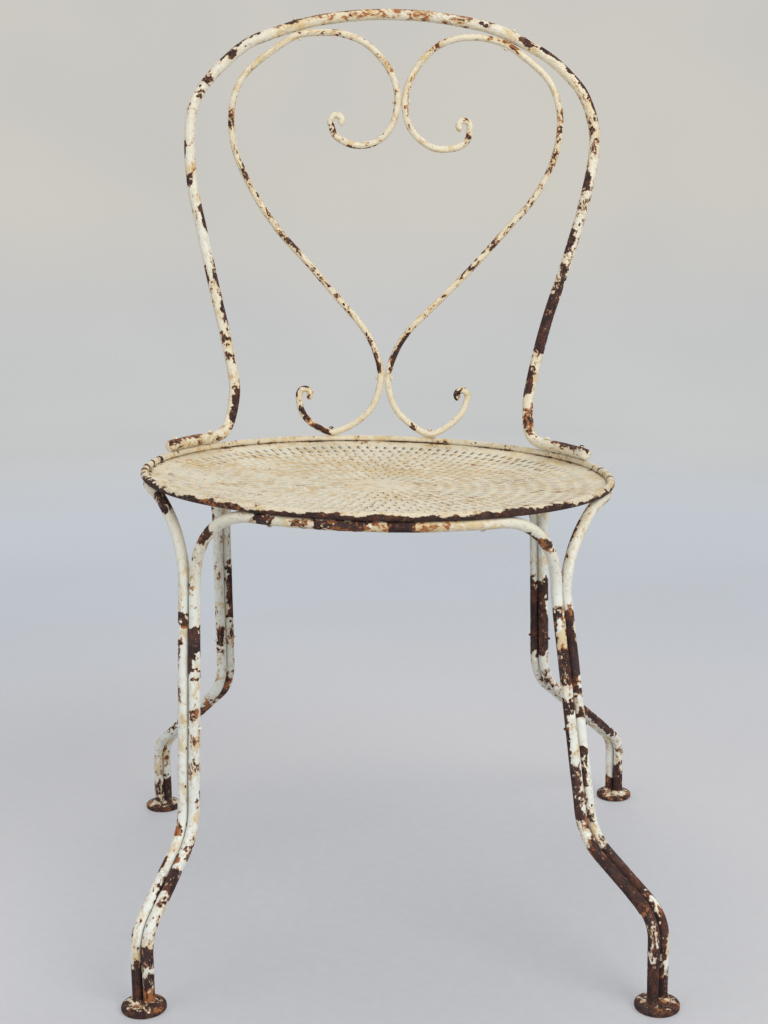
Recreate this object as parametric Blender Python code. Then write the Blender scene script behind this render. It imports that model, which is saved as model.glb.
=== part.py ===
"""A round-seated garden chair bent from iron bar, in metres, +Z up, front towards -Y.

Its origin is on the floor, at the middle of the ground that the four feet cover. The chair is old and
a little bent: the seat dips to its right, the back leans with it, and no two legs spread alike.
"""

import math

import bmesh
import bpy
import numpy as np
from mathutils import Matrix, Vector
from mathutils.geometry import delaunay_2d_cdt

# General fits
CLEARANCE = 0.0003

# Seat: a dished, slotted sheet whose edge is rolled over a ring of bar
SEAT_HEIGHT = 0.4085
SEAT_TILT = math.radians(1.86)
RING_RADIUS = 0.2115
RING_BAR = 0.0046
SHEET = 0.0010
CREASE_ANGLE = math.radians(207)
ROLL_END_ANGLE = math.radians(-128)
HEEL_ANGLE = math.radians(40)
ROLL_STEPS = 8
SEAT_SIDES = 48
DISH_DEPTH = 0.0105
DISH_POWER = 5

# Slots, in rows of rays round the middle
SLOT_LENGTH = 0.0100
SLOT_WIDTH = 0.0030
SLOT_SPACING = 0.0345
SLOT_ROW_PITCH = 0.0230
SLOT_ROWS = 7
PLAIN_BAND = 0.0185

# Legs: four bows of bar, each leg made of the ends of two bows side by side
LEG_BAR = 0.0101
BOW_BEND = 0.0680
BOW_TUCK = 0.0035
KNEE_BEND = 0.0450
ANKLE_BEND = 0.0300

# Each leg: angle of its top on the ring, foot on the floor, knee (share of the reach, height), ankle height
LEGS = {
    "front_left": (221.0, (-0.1975, -0.2272), (0.16, 0.123), 0.066),
    "front_right": (318.4, (0.2243, -0.2345), (0.30, 0.122), 0.079),
    "rear_right": (38.4, (0.2566, 0.2411), (0.02, 0.173), 0.067),
    "rear_left": (138.9, (-0.2413, 0.2250), (0.00, 0.166), 0.073),
}
BOWS = {
    "front_leg_bow": ("front_left", "front_right"),
    "right_leg_bow": ("front_right", "rear_right"),
    "rear_leg_bow": ("rear_right", "rear_left"),
    "left_leg_bow": ("rear_left", "front_left"),
}

# Feet: round pads with a socket for each bar
FOOT_DIAMETER = 0.0378
FOOT_THICKNESS = 0.0072
FOOT_UNDERCUT = 0.0013
FOOT_WALL = (0.0018, 0.0033)
FOOT_SHOULDER = (0.0167, 0.0052)
FOOT_CROWN = 0.0115
SOCKET_DEPTH = 0.0030
FOOT_SIDES = 20
SOCKET_SIDES = 8

# Back: a hoop whose ends lie along the rim, with two scrolls that form a heart
HOOP_BAR = 0.0112
SCROLL_BAR = 0.0070
BACK_WIDTH = 0.4080
BACK_HEIGHT = 0.4280
BACK_SHIFT = 0.0013
BACK_LEAN = math.radians(1.07)
BACK_RAKE = math.radians(10)
HOOP_FOOT_ANGLE = 45.0
HOOP_BEND = 0.0200
HOOP_TIP_ANGLE = 20.5
HOOP_BEND_TURNS = (0, math.radians(30), math.radians(60))
CROWN_SHARE = 0.8
EYE_RADIUS = 0.0070
EYE_HOLLOW = 0.0001
EYE_WINDING = 1.5
EYE_TURN = math.radians(255)

# The hoop from each waist to the top, as shares of half the width and of the height
HOOP_LEFT = [
    (-0.725, 0.119),
    (-0.760, 0.206),
    (-0.848, 0.361),
    (-0.916, 0.485),
    (-0.970, 0.590),
    (-0.992, 0.692),
    (-0.981, 0.770),
    (-0.937, 0.815),
    (-0.866, 0.858),
    (-0.729, 0.918),
    (-0.574, 0.951),
    (-0.421, 0.975),
    (-0.200, 0.994),
]
HOOP_RIGHT = [
    (0.724, 0.117),
    (0.742, 0.180),
    (0.800, 0.307),
    (0.891, 0.454),
    (0.960, 0.582),
    (1.000, 0.700),
    (0.993, 0.762),
    (0.938, 0.832),
    (0.854, 0.878),
    (0.754, 0.916),
    (0.613, 0.951),
    (0.475, 0.977),
    (0.200, 0.997),
]
HOOP_TOP = (0.0, 1.0)

# Scrolls from the upper eye to the lower one, as shares of half the width and of the height
LEFT_SCROLL_UPPER = [
    (-0.286, 0.745),
    (-0.262, 0.718),
    (-0.174, 0.698),
    (-0.070, 0.704),
    (0.010, 0.740),
]
MEET_UPPER = (0.041, 0.801)
LEFT_SCROLL_SHOULDER = [
    (0.008, 0.862),
    (-0.109, 0.925),
    (-0.246, 0.951),
]
LEFT_TOUCH = 0.490
LEFT_SCROLL_SIDE = [
    (-0.707, 0.856),
    (-0.766, 0.802),
    (-0.780, 0.740),
    (-0.750, 0.665),
    (-0.648, 0.570),
    (-0.527, 0.491),
    (-0.364, 0.411),
    (-0.221, 0.338),
    (-0.099, 0.276),
    (-0.031, 0.226),
]
MEET_LOWER = (0.011, 0.150)
LEFT_SCROLL_LOWER = [
    (-0.030, 0.077),
    (-0.123, 0.035),
]
LEFT_REST = -0.2300
LEFT_SCROLL_CURL = [
    (-0.338, 0.036),
    (-0.390, 0.068),
    (-0.401, 0.100),
]
RIGHT_SCROLL_UPPER = [
    (0.369, 0.748),
    (0.361, 0.722),
    (0.330, 0.706),
    (0.270, 0.697),
    (0.191, 0.698),
    (0.078, 0.738),
]
RIGHT_SCROLL_SHOULDER = [
    (0.072, 0.862),
    (0.170, 0.924),
    (0.265, 0.948),
    (0.391, 0.955),
]
RIGHT_TOUCH = 0.570
RIGHT_SCROLL_SIDE = [
    (0.742, 0.867),
    (0.798, 0.814),
    (0.816, 0.750),
    (0.790, 0.678),
    (0.705, 0.592),
    (0.584, 0.520),
    (0.397, 0.414),
    (0.207, 0.317),
    (0.111, 0.268),
    (0.050, 0.220),
]
RIGHT_SCROLL_LOWER = [
    (0.054, 0.080),
    (0.131, 0.043),
]
RIGHT_REST = 0.2340
RIGHT_SCROLL_CURL = [
    (0.333, 0.042),
    (0.400, 0.077),
    (0.420, 0.110),
]

# Rivets
RIVET_BAR = 0.0024
SCROLL_RIVET_BAR = 0.0022
RIVET_HEAD = 2.2
HEAD_RISE = 0.38
HOOP_RIVETS = (2.0, 17.5)
BOW_RIVET_INSET = 4.0
LEG_RIVET_HEIGHT = 0.215
RIVET_SEAT = 0.0035

# Facets
BAR_RESOLUTION = 2
RIVET_SIDES = 6
HEAD_STEPS = 3
ARC_STEP = math.radians(18)
ROUND_STEP = math.radians(11)
BEND_STEPS = 5
TIP_STEPS = 3
EYE_STEPS = 9
RING_SIDES = 6
SPLINE_STEPS = 2

# Colours, roughness and metallic value
CREAM_PAINT = ((0.80, 0.75, 0.60, 1), 0.55, 0.0)
WHITE_PAINT = ((0.74, 0.76, 0.72, 1), 0.50, 0.0)
RUSTED_IRON = ((0.13, 0.06, 0.04, 1), 0.85, 0.3)
BARE_IRON = ((0.20, 0.16, 0.14, 1), 0.70, 0.6)

ROLL_INNER = RING_BAR / 2 + CLEARANCE
ROLL_OUTER = ROLL_INNER + SHEET
BOW_RADIUS = RING_RADIUS - BOW_TUCK
BOW_LEVEL = -math.sqrt((ROLL_OUTER + CLEARANCE + LEG_BAR / 2) ** 2 - BOW_TUCK**2)
HOOP_LEVEL = ROLL_OUTER + CLEARANCE + HOOP_BAR / 2
SCROLL_LEVEL = ROLL_OUTER + CLEARANCE + SCROLL_BAR / 2
PAIR_OFFSET = (LEG_BAR + CLEARANCE) / 2
SCROLL_SPREAD = (SCROLL_BAR + CLEARANCE) / 2


def floor_middle():
    """The middle of the ground that the feet cover, in the coordinates of the LEGS table."""
    xs = [foot[0] for _, foot, _, _ in LEGS.values()]
    ys = [foot[1] for _, foot, _, _ in LEGS.values()]
    return Vector((min(xs) + max(xs), min(ys) + max(ys), 0)) / 2


MIDDLE = floor_middle()
SEAT = Matrix.Translation(Vector((0, 0, SEAT_HEIGHT)) - MIDDLE) @ Matrix.Rotation(SEAT_TILT, 4, "Y")


def material(name, finish):
    """A painted or rusted surface."""
    colour, roughness, metallic = finish
    made = bpy.data.materials.new(name)
    made.use_nodes = True
    shader = made.node_tree.nodes["Principled BSDF"]
    shader.inputs["Base Color"].default_value = colour
    shader.inputs["Roughness"].default_value = roughness
    shader.inputs["Metallic"].default_value = metallic
    made.diffuse_color = colour
    return made


def new_object(name, mesh, finish, parent=None):
    """An object of this mesh, with a material of its own."""
    mesh.name = name
    mesh.materials.clear()
    mesh.materials.append(material(name, finish))
    mesh.shade_smooth()
    mesh.set_sharp_from_angle(angle=math.radians(40))
    made = bpy.data.objects.new(name, mesh)
    made.parent = parent
    bpy.context.scene.collection.objects.link(made)
    return made


def ring_point(radius, degrees, height):
    """A point of the seat's frame at this angle round its middle."""
    turn = math.radians(degrees)
    return Vector((radius * math.cos(turn), radius * math.sin(turn), height))


def smooth_path(points):
    """A centripetal curve through the points, with SPLINE_STEPS pieces between each two."""
    points = [Vector(p) for p in points]
    padded = [points[0] * 2 - points[1], *points, points[-1] * 2 - points[-2]]
    path = []
    for before, start, end, after in zip(padded, padded[1:], padded[2:], padded[3:]):
        a = math.sqrt((start - before).length)
        b = math.sqrt((end - start).length)
        c = math.sqrt((after - end).length)
        leave = (start - before) / a - (end - before) / (a + b) + (end - start) / b
        arrive = (end - start) / b - (after - start) / (b + c) + (after - end) / c
        for step in range(SPLINE_STEPS):
            t = step / SPLINE_STEPS
            path.append(
                start * (2 * t**3 - 3 * t**2 + 1)
                + leave * b * (t**3 - 2 * t**2 + t)
                + end * (3 * t**2 - 2 * t**3)
                + arrive * b * (t**3 - t**2)
            )
    return [*path, points[-1]]


def bent_path(corners, bends):
    """Straight runs between the corners, with an arc of the given radius at each inner corner."""
    path = [corners[0]]
    for before, corner, after, bend in zip(corners, corners[1:], corners[2:], bends):
        to_before = (before - corner).normalized()
        to_after = (after - corner).normalized()
        half = to_before.angle(to_after) / 2
        centre = corner + (to_before + to_after).normalized() * bend / math.sin(half)
        start = corner + to_before * bend / math.tan(half) - centre
        end = corner + to_after * bend / math.tan(half) - centre
        steps = max(2, round(start.angle(end) / ARC_STEP))
        path += [centre + start.slerp(end, i / steps).normalized() * bend for i in range(steps + 1)]
    return [*path, corners[-1]]


def bar_mesh(path, diameter):
    """Round bar along the path, with flat ends, as one closed mesh."""
    curve = bpy.data.curves.new("bar", "CURVE")
    curve.dimensions = "3D"
    curve.bevel_depth = diameter / 2
    curve.bevel_resolution = BAR_RESOLUTION
    curve.use_fill_caps = True
    spline = curve.splines.new("POLY")
    spline.points.add(len(path) - 1)
    for point, place in zip(spline.points, path):
        point.co = (*place, 1)
    holder = bpy.data.objects.new("bar", curve)
    bpy.context.scene.collection.objects.link(holder)
    bpy.context.view_layer.update()
    graph = bpy.context.evaluated_depsgraph_get()
    mesh = bpy.data.meshes.new_from_object(holder.evaluated_get(graph))
    bpy.data.objects.remove(holder)
    bpy.data.curves.remove(curve)
    shape = bmesh.new()
    shape.from_mesh(mesh)
    bmesh.ops.remove_doubles(shape, verts=shape.verts, dist=1e-6)
    bmesh.ops.recalc_face_normals(shape, faces=shape.faces)
    shape.to_mesh(mesh)
    shape.free()
    return mesh


def turned_mesh(profile, sides):
    """A solid of revolution about Z from (radius, height) points that start and end on the axis."""
    shape = bmesh.new()
    rows = []
    for radius, height in profile:
        if radius == 0:
            rows.append([shape.verts.new((0, 0, height))])
            continue
        turns = [2 * math.pi * i / sides for i in range(sides)]
        rows.append([shape.verts.new((radius * math.cos(t), radius * math.sin(t), height)) for t in turns])
    for low, high in zip(rows, rows[1:]):
        for i in range(sides):
            j = (i + 1) % sides
            corners = [low[i % len(low)], low[j % len(low)], high[j % len(high)], high[i % len(high)]]
            shape.faces.new(list(dict.fromkeys(corners)))
    bmesh.ops.recalc_face_normals(shape, faces=shape.faces)
    mesh = bpy.data.meshes.new("turned")
    shape.to_mesh(mesh)
    shape.free()
    return mesh


def placed(mesh, matrix):
    """The mesh, moved by the matrix."""
    mesh.transform(matrix)
    return mesh


def aimed(place, direction):
    """The matrix that puts Z along the direction, at this place."""
    return Matrix.Translation(place) @ direction.to_track_quat("Z", "Y").to_matrix().to_4x4()


def drill(target, name, holes, sides=RIVET_SIDES):
    """Cuts round holes, each (start, direction, length, diameter) in the target's own frame."""
    shape = bmesh.new()
    for start, direction, length, diameter in holes:
        radius = diameter / 2 / math.cos(math.pi / sides)
        pin = turned_mesh([(0, 0), (radius, 0), (radius, length), (0, length)], sides)
        shape.from_mesh(placed(pin, aimed(start, direction)))
        bpy.data.meshes.remove(pin)
    mesh = bpy.data.meshes.new(name)
    shape.to_mesh(mesh)
    shape.free()
    cutter = bpy.data.objects.new(name, mesh)
    cutter.parent = target.parent
    cutter.hide_render = True
    cutter.display_type = "WIRE"
    bpy.context.scene.collection.objects.link(cutter)
    cut = target.modifiers.new(name, "BOOLEAN")
    cut.object = cutter
    cut.operation = "DIFFERENCE"
    cut.solver = "EXACT"


def rivet(name, start, direction, shank, diameter, parent, both_ends=False):
    """A rivet whose shank runs from start along direction, with a domed head behind the start."""
    radius = diameter / 2
    head = radius * RIVET_HEAD
    rise = head * 2 * HEAD_RISE
    turns = np.linspace(0, math.pi / 2, HEAD_STEPS + 1)[:-1]
    dome = [(head * math.cos(t), rise * math.sin(t)) for t in turns] + [(0, rise)]
    profile = [(r, -z) for r, z in reversed(dome)] + [(radius, 0), (radius, shank)]
    if both_ends:
        profile += [(r, shank + z) for r, z in dome]
    else:
        profile.append((0, shank))
    mesh = placed(turned_mesh(profile, RIVET_SIDES), aimed(start, direction))
    return new_object(name, mesh, RUSTED_IRON, parent)


def hole_for(start, direction, shank, diameter):
    """The hole that a rivet passes through, with clearance round it and past both its ends."""
    return (start - direction * CLEARANCE, direction, shank + 2 * CLEARANCE, diameter + 2 * CLEARANCE)


def dish_level(radius):
    """Height of the sheet's upper face above the ring's centre, inside the rolled rim."""
    crease_radius = RING_RADIUS + ROLL_OUTER * math.cos(CREASE_ANGLE)
    crease_level = ROLL_OUTER * math.sin(CREASE_ANGLE)
    return crease_level - DISH_DEPTH * (1 - (radius / crease_radius) ** DISH_POWER)


def slot_rows():
    """For each row of slots: its radius, how many slots it has, and the angle of its first slot."""
    outer = RING_RADIUS - PLAIN_BAND - SLOT_LENGTH / 2
    rows = []
    for row in range(SLOT_ROWS):
        radius = outer - row * SLOT_ROW_PITCH
        count = max(4, int(2 * math.pi * radius / SLOT_SPACING))
        rows.append((radius, count, math.pi / count * (row % 2)))
    return [row for row in rows if row[0] > SLOT_LENGTH]


def slot_corners(radius, turn):
    """The four corners of a slot, anticlockwise, seen from above."""
    along = Vector((math.cos(turn), math.sin(turn)))
    across = Vector((-along.y, along.x)) * SLOT_WIDTH / 2
    near = along * (radius - SLOT_LENGTH / 2)
    far = along * (radius + SLOT_LENGTH / 2)
    return [near - across, far - across, far + across, near + across]


def in_slot(point):
    """Whether a point of the sheet lies in one of the slots."""
    radius = point.length
    turn = math.atan2(point.y, point.x)
    for row_radius, count, first in slot_rows():
        step = 2 * math.pi / count
        off = (turn - first + step / 2) % step - step / 2
        along = radius * math.cos(off) - row_radius
        if abs(along) < SLOT_LENGTH / 2 and abs(radius * math.sin(off)) < SLOT_WIDTH / 2:
            return True
    return False


def rim_section():
    """The rolled edge, in (radius, height): its outer skin from the crease, then its inner skin back."""
    turns = np.linspace(CREASE_ANGLE, ROLL_END_ANGLE, ROLL_STEPS + 1)
    outer = [(RING_RADIUS + ROLL_OUTER * math.cos(t), ROLL_OUTER * math.sin(t)) for t in turns]
    inner = [(RING_RADIUS + ROLL_INNER * math.cos(t), ROLL_INNER * math.sin(t)) for t in turns[::-1]]
    radius, height = outer[0]
    heel = (radius + SHEET * math.cos(HEEL_ANGLE), height - SHEET * math.sin(HEEL_ANGLE))
    return [*outer, *inner, heel, (radius, height - SHEET)]


def seat_pan_mesh():
    """The slotted dish with its rolled rim, as one closed sheet."""
    section = rim_section()
    crease_radius = section[0][0]
    turns = [2 * math.pi * i / SEAT_SIDES for i in range(SEAT_SIDES)]
    flat = [Vector((crease_radius * math.cos(t), crease_radius * math.sin(t))) for t in turns]
    edges = [(i, (i + 1) % SEAT_SIDES) for i in range(SEAT_SIDES)]
    for radius, count, first in slot_rows():
        for i in range(count):
            start = len(flat)
            flat += slot_corners(radius, first + 2 * math.pi * i / count)
            edges += [(start + j, start + (j + 1) % 4) for j in range(4)]
    points, _, faces, _, _, _ = delaunay_2d_cdt(flat, edges, [], 0, 1e-9)
    faces = [face for face in faces if not in_slot(sum((points[i] for i in face), Vector((0, 0))) / 3)]

    shape = bmesh.new()
    top = [shape.verts.new((*p, dish_level(p.length))) for p in points]
    bottom = [shape.verts.new((*p, dish_level(p.length) - SHEET)) for p in points]
    for face in faces:
        shape.faces.new([top[i] for i in face])
        shape.faces.new([bottom[i] for i in reversed(face)])
    used = [edge for face in faces for edge in zip(face, (*face[1:], face[0]))]
    known = set(used)
    walls = [(a, b) for a, b in used if (b, a) not in known and max(a, b) >= SEAT_SIDES]
    for a, b in walls:
        shape.faces.new([top[b], top[a], bottom[a], bottom[b]])
    rings = [top[:SEAT_SIDES]]
    for radius, height in section[1:-1]:
        rings.append([shape.verts.new((radius * math.cos(t), radius * math.sin(t), height)) for t in turns])
    rings.append(bottom[:SEAT_SIDES])
    for near, far in zip(rings, rings[1:]):
        for i in range(SEAT_SIDES):
            j = (i + 1) % SEAT_SIDES
            shape.faces.new([near[i], near[j], far[j], far[i]])
    loose = [v for v in shape.verts if not v.link_faces]
    bmesh.ops.delete(shape, geom=loose, context="VERTS")
    bmesh.ops.recalc_face_normals(shape, faces=shape.faces)
    mesh = bpy.data.meshes.new("seat_pan")
    shape.to_mesh(mesh)
    shape.free()
    return mesh


def seat_ring_mesh():
    """The closed ring of bar inside the rolled rim."""
    shape = bmesh.new()
    turns = [2 * math.pi * i / SEAT_SIDES for i in range(SEAT_SIDES)]
    rings = []
    for k in range(RING_SIDES):
        turn = 2 * math.pi * (k + 0.5) / RING_SIDES
        radius = RING_RADIUS + RING_BAR / 2 * math.cos(turn)
        height = RING_BAR / 2 * math.sin(turn)
        rings.append([shape.verts.new((radius * math.cos(t), radius * math.sin(t), height)) for t in turns])
    for near, far in zip(rings, [*rings[1:], rings[0]]):
        for i in range(SEAT_SIDES):
            j = (i + 1) % SEAT_SIDES
            shape.faces.new([near[i], near[j], far[j], far[i]])
    bmesh.ops.recalc_face_normals(shape, faces=shape.faces)
    mesh = bpy.data.meshes.new("seat_ring")
    shape.to_mesh(mesh)
    shape.free()
    return mesh


def leg_frame(name):
    """A leg's centre line from the bow's bend to the foot, the ring's way, and the way between its bars."""
    angle, foot, knee, ankle_height = LEGS[name]
    top = SEAT @ ring_point(BOW_RADIUS, angle, BOW_LEVEL - BOW_BEND)
    end = Vector((*foot, FOOT_THICKNESS - SOCKET_DEPTH + CLEARANCE)) - MIDDLE
    reach = Vector((end.x - top.x, end.y - top.y, 0))
    knee_point = Vector((top.x, top.y, knee[1])) + reach * knee[0]
    ankle_point = Vector((end.x, end.y, ankle_height))
    path = bent_path([top, knee_point, ankle_point, end], [KNEE_BEND, ANKLE_BEND])
    side = Vector((-reach.y, reach.x, 0)).normalized()
    tangent = SEAT.to_3x3() @ ring_point(1, angle + 90, 0)
    return path, tangent, side if side.dot(tangent) > 0 else -side


def leg_bar(name, sign):
    """One bar of a leg, top to foot: sign is +1 for the bar further round the seat, anticlockwise."""
    path, _, side = leg_frame(name)
    return [place + side * PAIR_OFFSET * sign for place in path]


def bow_bend(name, sign):
    """The arc from a leg's bar up to the level run under the rim, and the angle where it ends."""
    _, tangent, side = leg_frame(name)
    bar_angle = LEGS[name][0] + sign * math.degrees(PAIR_OFFSET / BOW_RADIUS)
    arc = []
    for i in range(1, BEND_STEPS + 1):
        turn = math.pi / 2 * i / BEND_STEPS
        along = math.degrees(BOW_BEND * (1 - math.cos(turn)) / BOW_RADIUS)
        height = BOW_LEVEL - BOW_BEND * (1 - math.sin(turn))
        off_ring = (side - tangent) * PAIR_OFFSET * sign * (1 - math.sin(turn))
        arc.append(SEAT @ ring_point(BOW_RADIUS, bar_angle + sign * along, height) + off_ring)
    return arc, bar_angle + sign * along


def bow_path(start_leg, end_leg):
    """The whole bow: up one leg, round under the rim, down the next leg."""
    first_arc, from_angle = bow_bend(start_leg, 1)
    last_arc, to_angle = bow_bend(end_leg, -1)
    span = (to_angle - from_angle) % 360
    steps = max(2, round(math.radians(span) / ROUND_STEP))
    round_run = [
        SEAT @ ring_point(BOW_RADIUS, from_angle + span * i / steps, BOW_LEVEL) for i in range(1, steps)
    ]
    return [*leg_bar(start_leg, 1)[::-1], *first_arc, *round_run, *last_arc[::-1], *leg_bar(end_leg, -1)]


def bow_rivet_angles(start_leg, end_leg):
    """Where a bow is riveted to the ring: just inside each end of its level run."""
    _, from_angle = bow_bend(start_leg, 1)
    _, to_angle = bow_bend(end_leg, -1)
    return from_angle + BOW_RIVET_INSET, to_angle - BOW_RIVET_INSET


def back_point(across, height, foot_depth, rake):
    """A point of the back in the seat's frame: across and height in its own leaning, raked plane."""
    x = BACK_SHIFT + across * math.cos(BACK_LEAN) + height * math.sin(BACK_LEAN)
    z = height * math.cos(BACK_LEAN) - across * math.sin(BACK_LEAN)
    return Vector((x, foot_depth + height * math.tan(rake), z))


def hoop_depth():
    """How far behind the seat's middle the hoop rises from the rim."""
    return RING_RADIUS * math.cos(math.radians(HOOP_FOOT_ANGLE))


def hoop_plane_path():
    """The hoop above the rim in the plane of the back, left to right."""
    shares = [*HOOP_LEFT, HOOP_TOP, *HOOP_RIGHT[::-1]]
    return [Vector((a * BACK_WIDTH / 2, b * BACK_HEIGHT, 0)) for a, b in shares]


def hoop_end(sign):
    """One end of the hoop in the seat's frame: its run along the rim, and the bend up from it."""
    foot_angle = hoop_foot_angle(sign)
    turns = [foot_angle - sign * HOOP_TIP_ANGLE * (1 - i / TIP_STEPS) for i in range(TIP_STEPS)]
    run = [ring_point(RING_RADIUS, turn, HOOP_LEVEL) for turn in turns]
    bend = []
    for turn in HOOP_BEND_TURNS:
        angle = foot_angle + sign * math.degrees(HOOP_BEND * math.sin(turn) / RING_RADIUS)
        bend.append(ring_point(RING_RADIUS, angle, HOOP_LEVEL + HOOP_BEND * (1 - math.cos(turn))))
    return run, bend


def hoop_path():
    """The hoop in the seat's frame: along the rim, up and over, and along the rim again."""
    arch = [back_point(p.x, p.y, hoop_depth(), BACK_RAKE) for p in hoop_plane_path()]
    left_run, left_bend = hoop_end(-1)
    right_run, right_bend = hoop_end(1)
    return [*left_run, *smooth_path([*left_bend, *arch, *right_bend[::-1]]), *right_run[::-1]]


def hoop_foot_angle(sign):
    """The angle on the ring where the hoop comes down to lie along the rim."""
    return 90 - sign * (HOOP_FOOT_ANGLE + math.degrees(HOOP_BEND / RING_RADIUS))


def hoop_touch(share):
    """Where a scroll touches the hoop: the hoop's centre there and the way in, in its own plane."""
    path = smooth_path(hoop_plane_path())
    goal = share * BACK_WIDTH / 2
    crown = [p for p in path if p.y > BACK_HEIGHT * CROWN_SHARE]
    for start, end in zip(crown, crown[1:]):
        if start.x <= goal <= end.x:
            place = start.lerp(end, (goal - start.x) / (end.x - start.x))
            along = (end - start).normalized()
            return place, Vector((along.y, -along.x, 0))
    return crown[0], Vector((0, -1, 0))


def hoop_contact(sign):
    """Where the hoop and a scroll meet in the plane of the back: their centres, and the way along."""
    place, inward = hoop_touch(-LEFT_TOUCH if sign < 0 else RIGHT_TOUCH)
    along = Vector((-inward.y, inward.x, 0)) * sign
    return place, place + inward * ((HOOP_BAR + SCROLL_BAR) / 2 + CLEARANCE), along


def scroll_rest(sign):
    """Where a scroll rests on the rim, in the plane of the back."""
    across = (LEFT_REST if sign < 0 else RIGHT_REST) * BACK_WIDTH / 2 + sign * SCROLL_SPREAD
    return Vector((across, SCROLL_LEVEL / math.cos(BACK_LEAN) + across * math.tan(BACK_LEAN), 0))


def scroll_point(sign, share):
    """A point of a scroll in the plane of the back, from its shares."""
    return Vector((share[0] * BACK_WIDTH / 2 + sign * SCROLL_SPREAD, share[1] * BACK_HEIGHT, 0))


def scroll_plan(sign):
    """A scroll's control points in the plane of the back, from upper eye to lower eye."""
    left = sign < 0
    upper = [*(LEFT_SCROLL_UPPER if left else RIGHT_SCROLL_UPPER), MEET_UPPER]
    shoulder = LEFT_SCROLL_SHOULDER if left else RIGHT_SCROLL_SHOULDER
    side = [*(LEFT_SCROLL_SIDE if left else RIGHT_SCROLL_SIDE), MEET_LOWER]
    lower = LEFT_SCROLL_LOWER if left else RIGHT_SCROLL_LOWER
    curl = LEFT_SCROLL_CURL if left else RIGHT_SCROLL_CURL
    before = [scroll_point(sign, share) for share in [*upper, *shoulder]]
    between = [scroll_point(sign, share) for share in [*side, *lower]]
    after = [scroll_point(sign, share) for share in curl]
    _, contact, along = hoop_contact(sign)
    top_seat = [contact - along * RIVET_SEAT, contact + along * RIVET_SEAT]
    run = Vector((sign * RIVET_SEAT, 0, 0))
    foot_seat = [scroll_rest(sign) - run, scroll_rest(sign) + run]
    return [*before, *top_seat, *between, *foot_seat, *after]


def eye_arc(end, before, clockwise):
    """A tight curl that carries on from the end of a path and winds inwards, in its plane."""
    along = (end - before).normalized()
    turn = -1 if clockwise else 1
    inward = Vector((-along.y, along.x, 0)) * turn
    centre = end + inward * EYE_RADIUS
    tip_radius = SCROLL_BAR / 2 + EYE_HOLLOW
    arc = []
    for i in range(1, EYE_STEPS + 1):
        share = i / EYE_STEPS
        radius = EYE_RADIUS + (tip_radius - EYE_RADIUS) * share**EYE_WINDING
        arc.append(centre - Matrix.Rotation(turn * EYE_TURN * share, 3, "Z") @ inward * radius)
    return arc


def scroll_depth(sign):
    """The depth of a scroll's foot on the rim and the rake that brings its top beside the hoop."""
    foot = scroll_rest(sign)
    foot_x = back_point(foot.x, foot.y, 0, 0).x
    foot_depth = math.sqrt(RING_RADIUS**2 - foot_x**2)
    top = hoop_contact(sign)[1]
    top_depth = hoop_depth() + top.y * math.tan(BACK_RAKE)
    rake = math.atan((top_depth - foot_depth) / (top.y - foot.y))
    return foot_depth - foot.y * math.tan(rake), rake


def scroll_path(sign):
    """A whole scroll in the seat's frame."""
    plan = smooth_path(scroll_plan(sign))
    upper_eye = eye_arc(plan[0], plan[1], sign < 0)
    lower_eye = eye_arc(plan[-1], plan[-2], sign < 0)
    depth, rake = scroll_depth(sign)
    return [back_point(p.x, p.y, depth, rake) for p in [*upper_eye[::-1], *plan, *lower_eye]]


def foot_mesh():
    """A round pad with a bevelled foot, a short wall and a domed top."""
    radius = FOOT_DIAMETER / 2
    profile = [
        (0, 0),
        (radius - FOOT_UNDERCUT, 0),
        (radius, FOOT_WALL[0]),
        (radius, FOOT_WALL[1]),
        FOOT_SHOULDER,
        (FOOT_CROWN, FOOT_THICKNESS),
        (0, FOOT_THICKNESS),
    ]
    return turned_mesh(profile, FOOT_SIDES)


def clear_scene():
    for thing in list(bpy.data.objects):
        bpy.data.objects.remove(thing)


def make_seat(seat_frame, rim_holes):
    """The slotted pan and the ring inside its rim, drilled for every rivet that reaches them."""
    pan = new_object("seat_pan", seat_pan_mesh(), CREAM_PAINT, seat_frame)
    ring = new_object("seat_ring", seat_ring_mesh(), BARE_IRON, seat_frame)
    drill(pan, "seat_pan_holes", rim_holes)
    drill(ring, "seat_ring_holes", rim_holes)


def make_bow_rivets(seat_frame, rim_holes, bow_holes):
    """Two rivets up through each bow, square to its tuck under the rim, into the ring inside the rim."""
    for name, legs in BOWS.items():
        for word, angle in zip(("first", "second"), bow_rivet_angles(*legs)):
            centre = ring_point(RING_RADIUS, angle, 0)
            direction = (centre - ring_point(BOW_RADIUS, angle, BOW_LEVEL)).normalized()
            shank = ROLL_OUTER + LEG_BAR + 2 * CLEARANCE
            start = centre - direction * shank
            rivet(f"{name}_{word}_rivet", start, direction, shank, RIVET_BAR, seat_frame)
            hole = hole_for(start, direction, shank, RIVET_BAR)
            rim_holes.append(hole)
            bow_holes[name].append((SEAT @ hole[0], SEAT.to_3x3() @ direction, hole[2], hole[3]))


def point_at_height(path, height):
    """Where a path that runs downwards passes this height."""
    for above, below in zip(path, path[1:]):
        if below.z < height:
            return above.lerp(below, (above.z - height) / (above.z - below.z))
    return path[-1]


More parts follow.
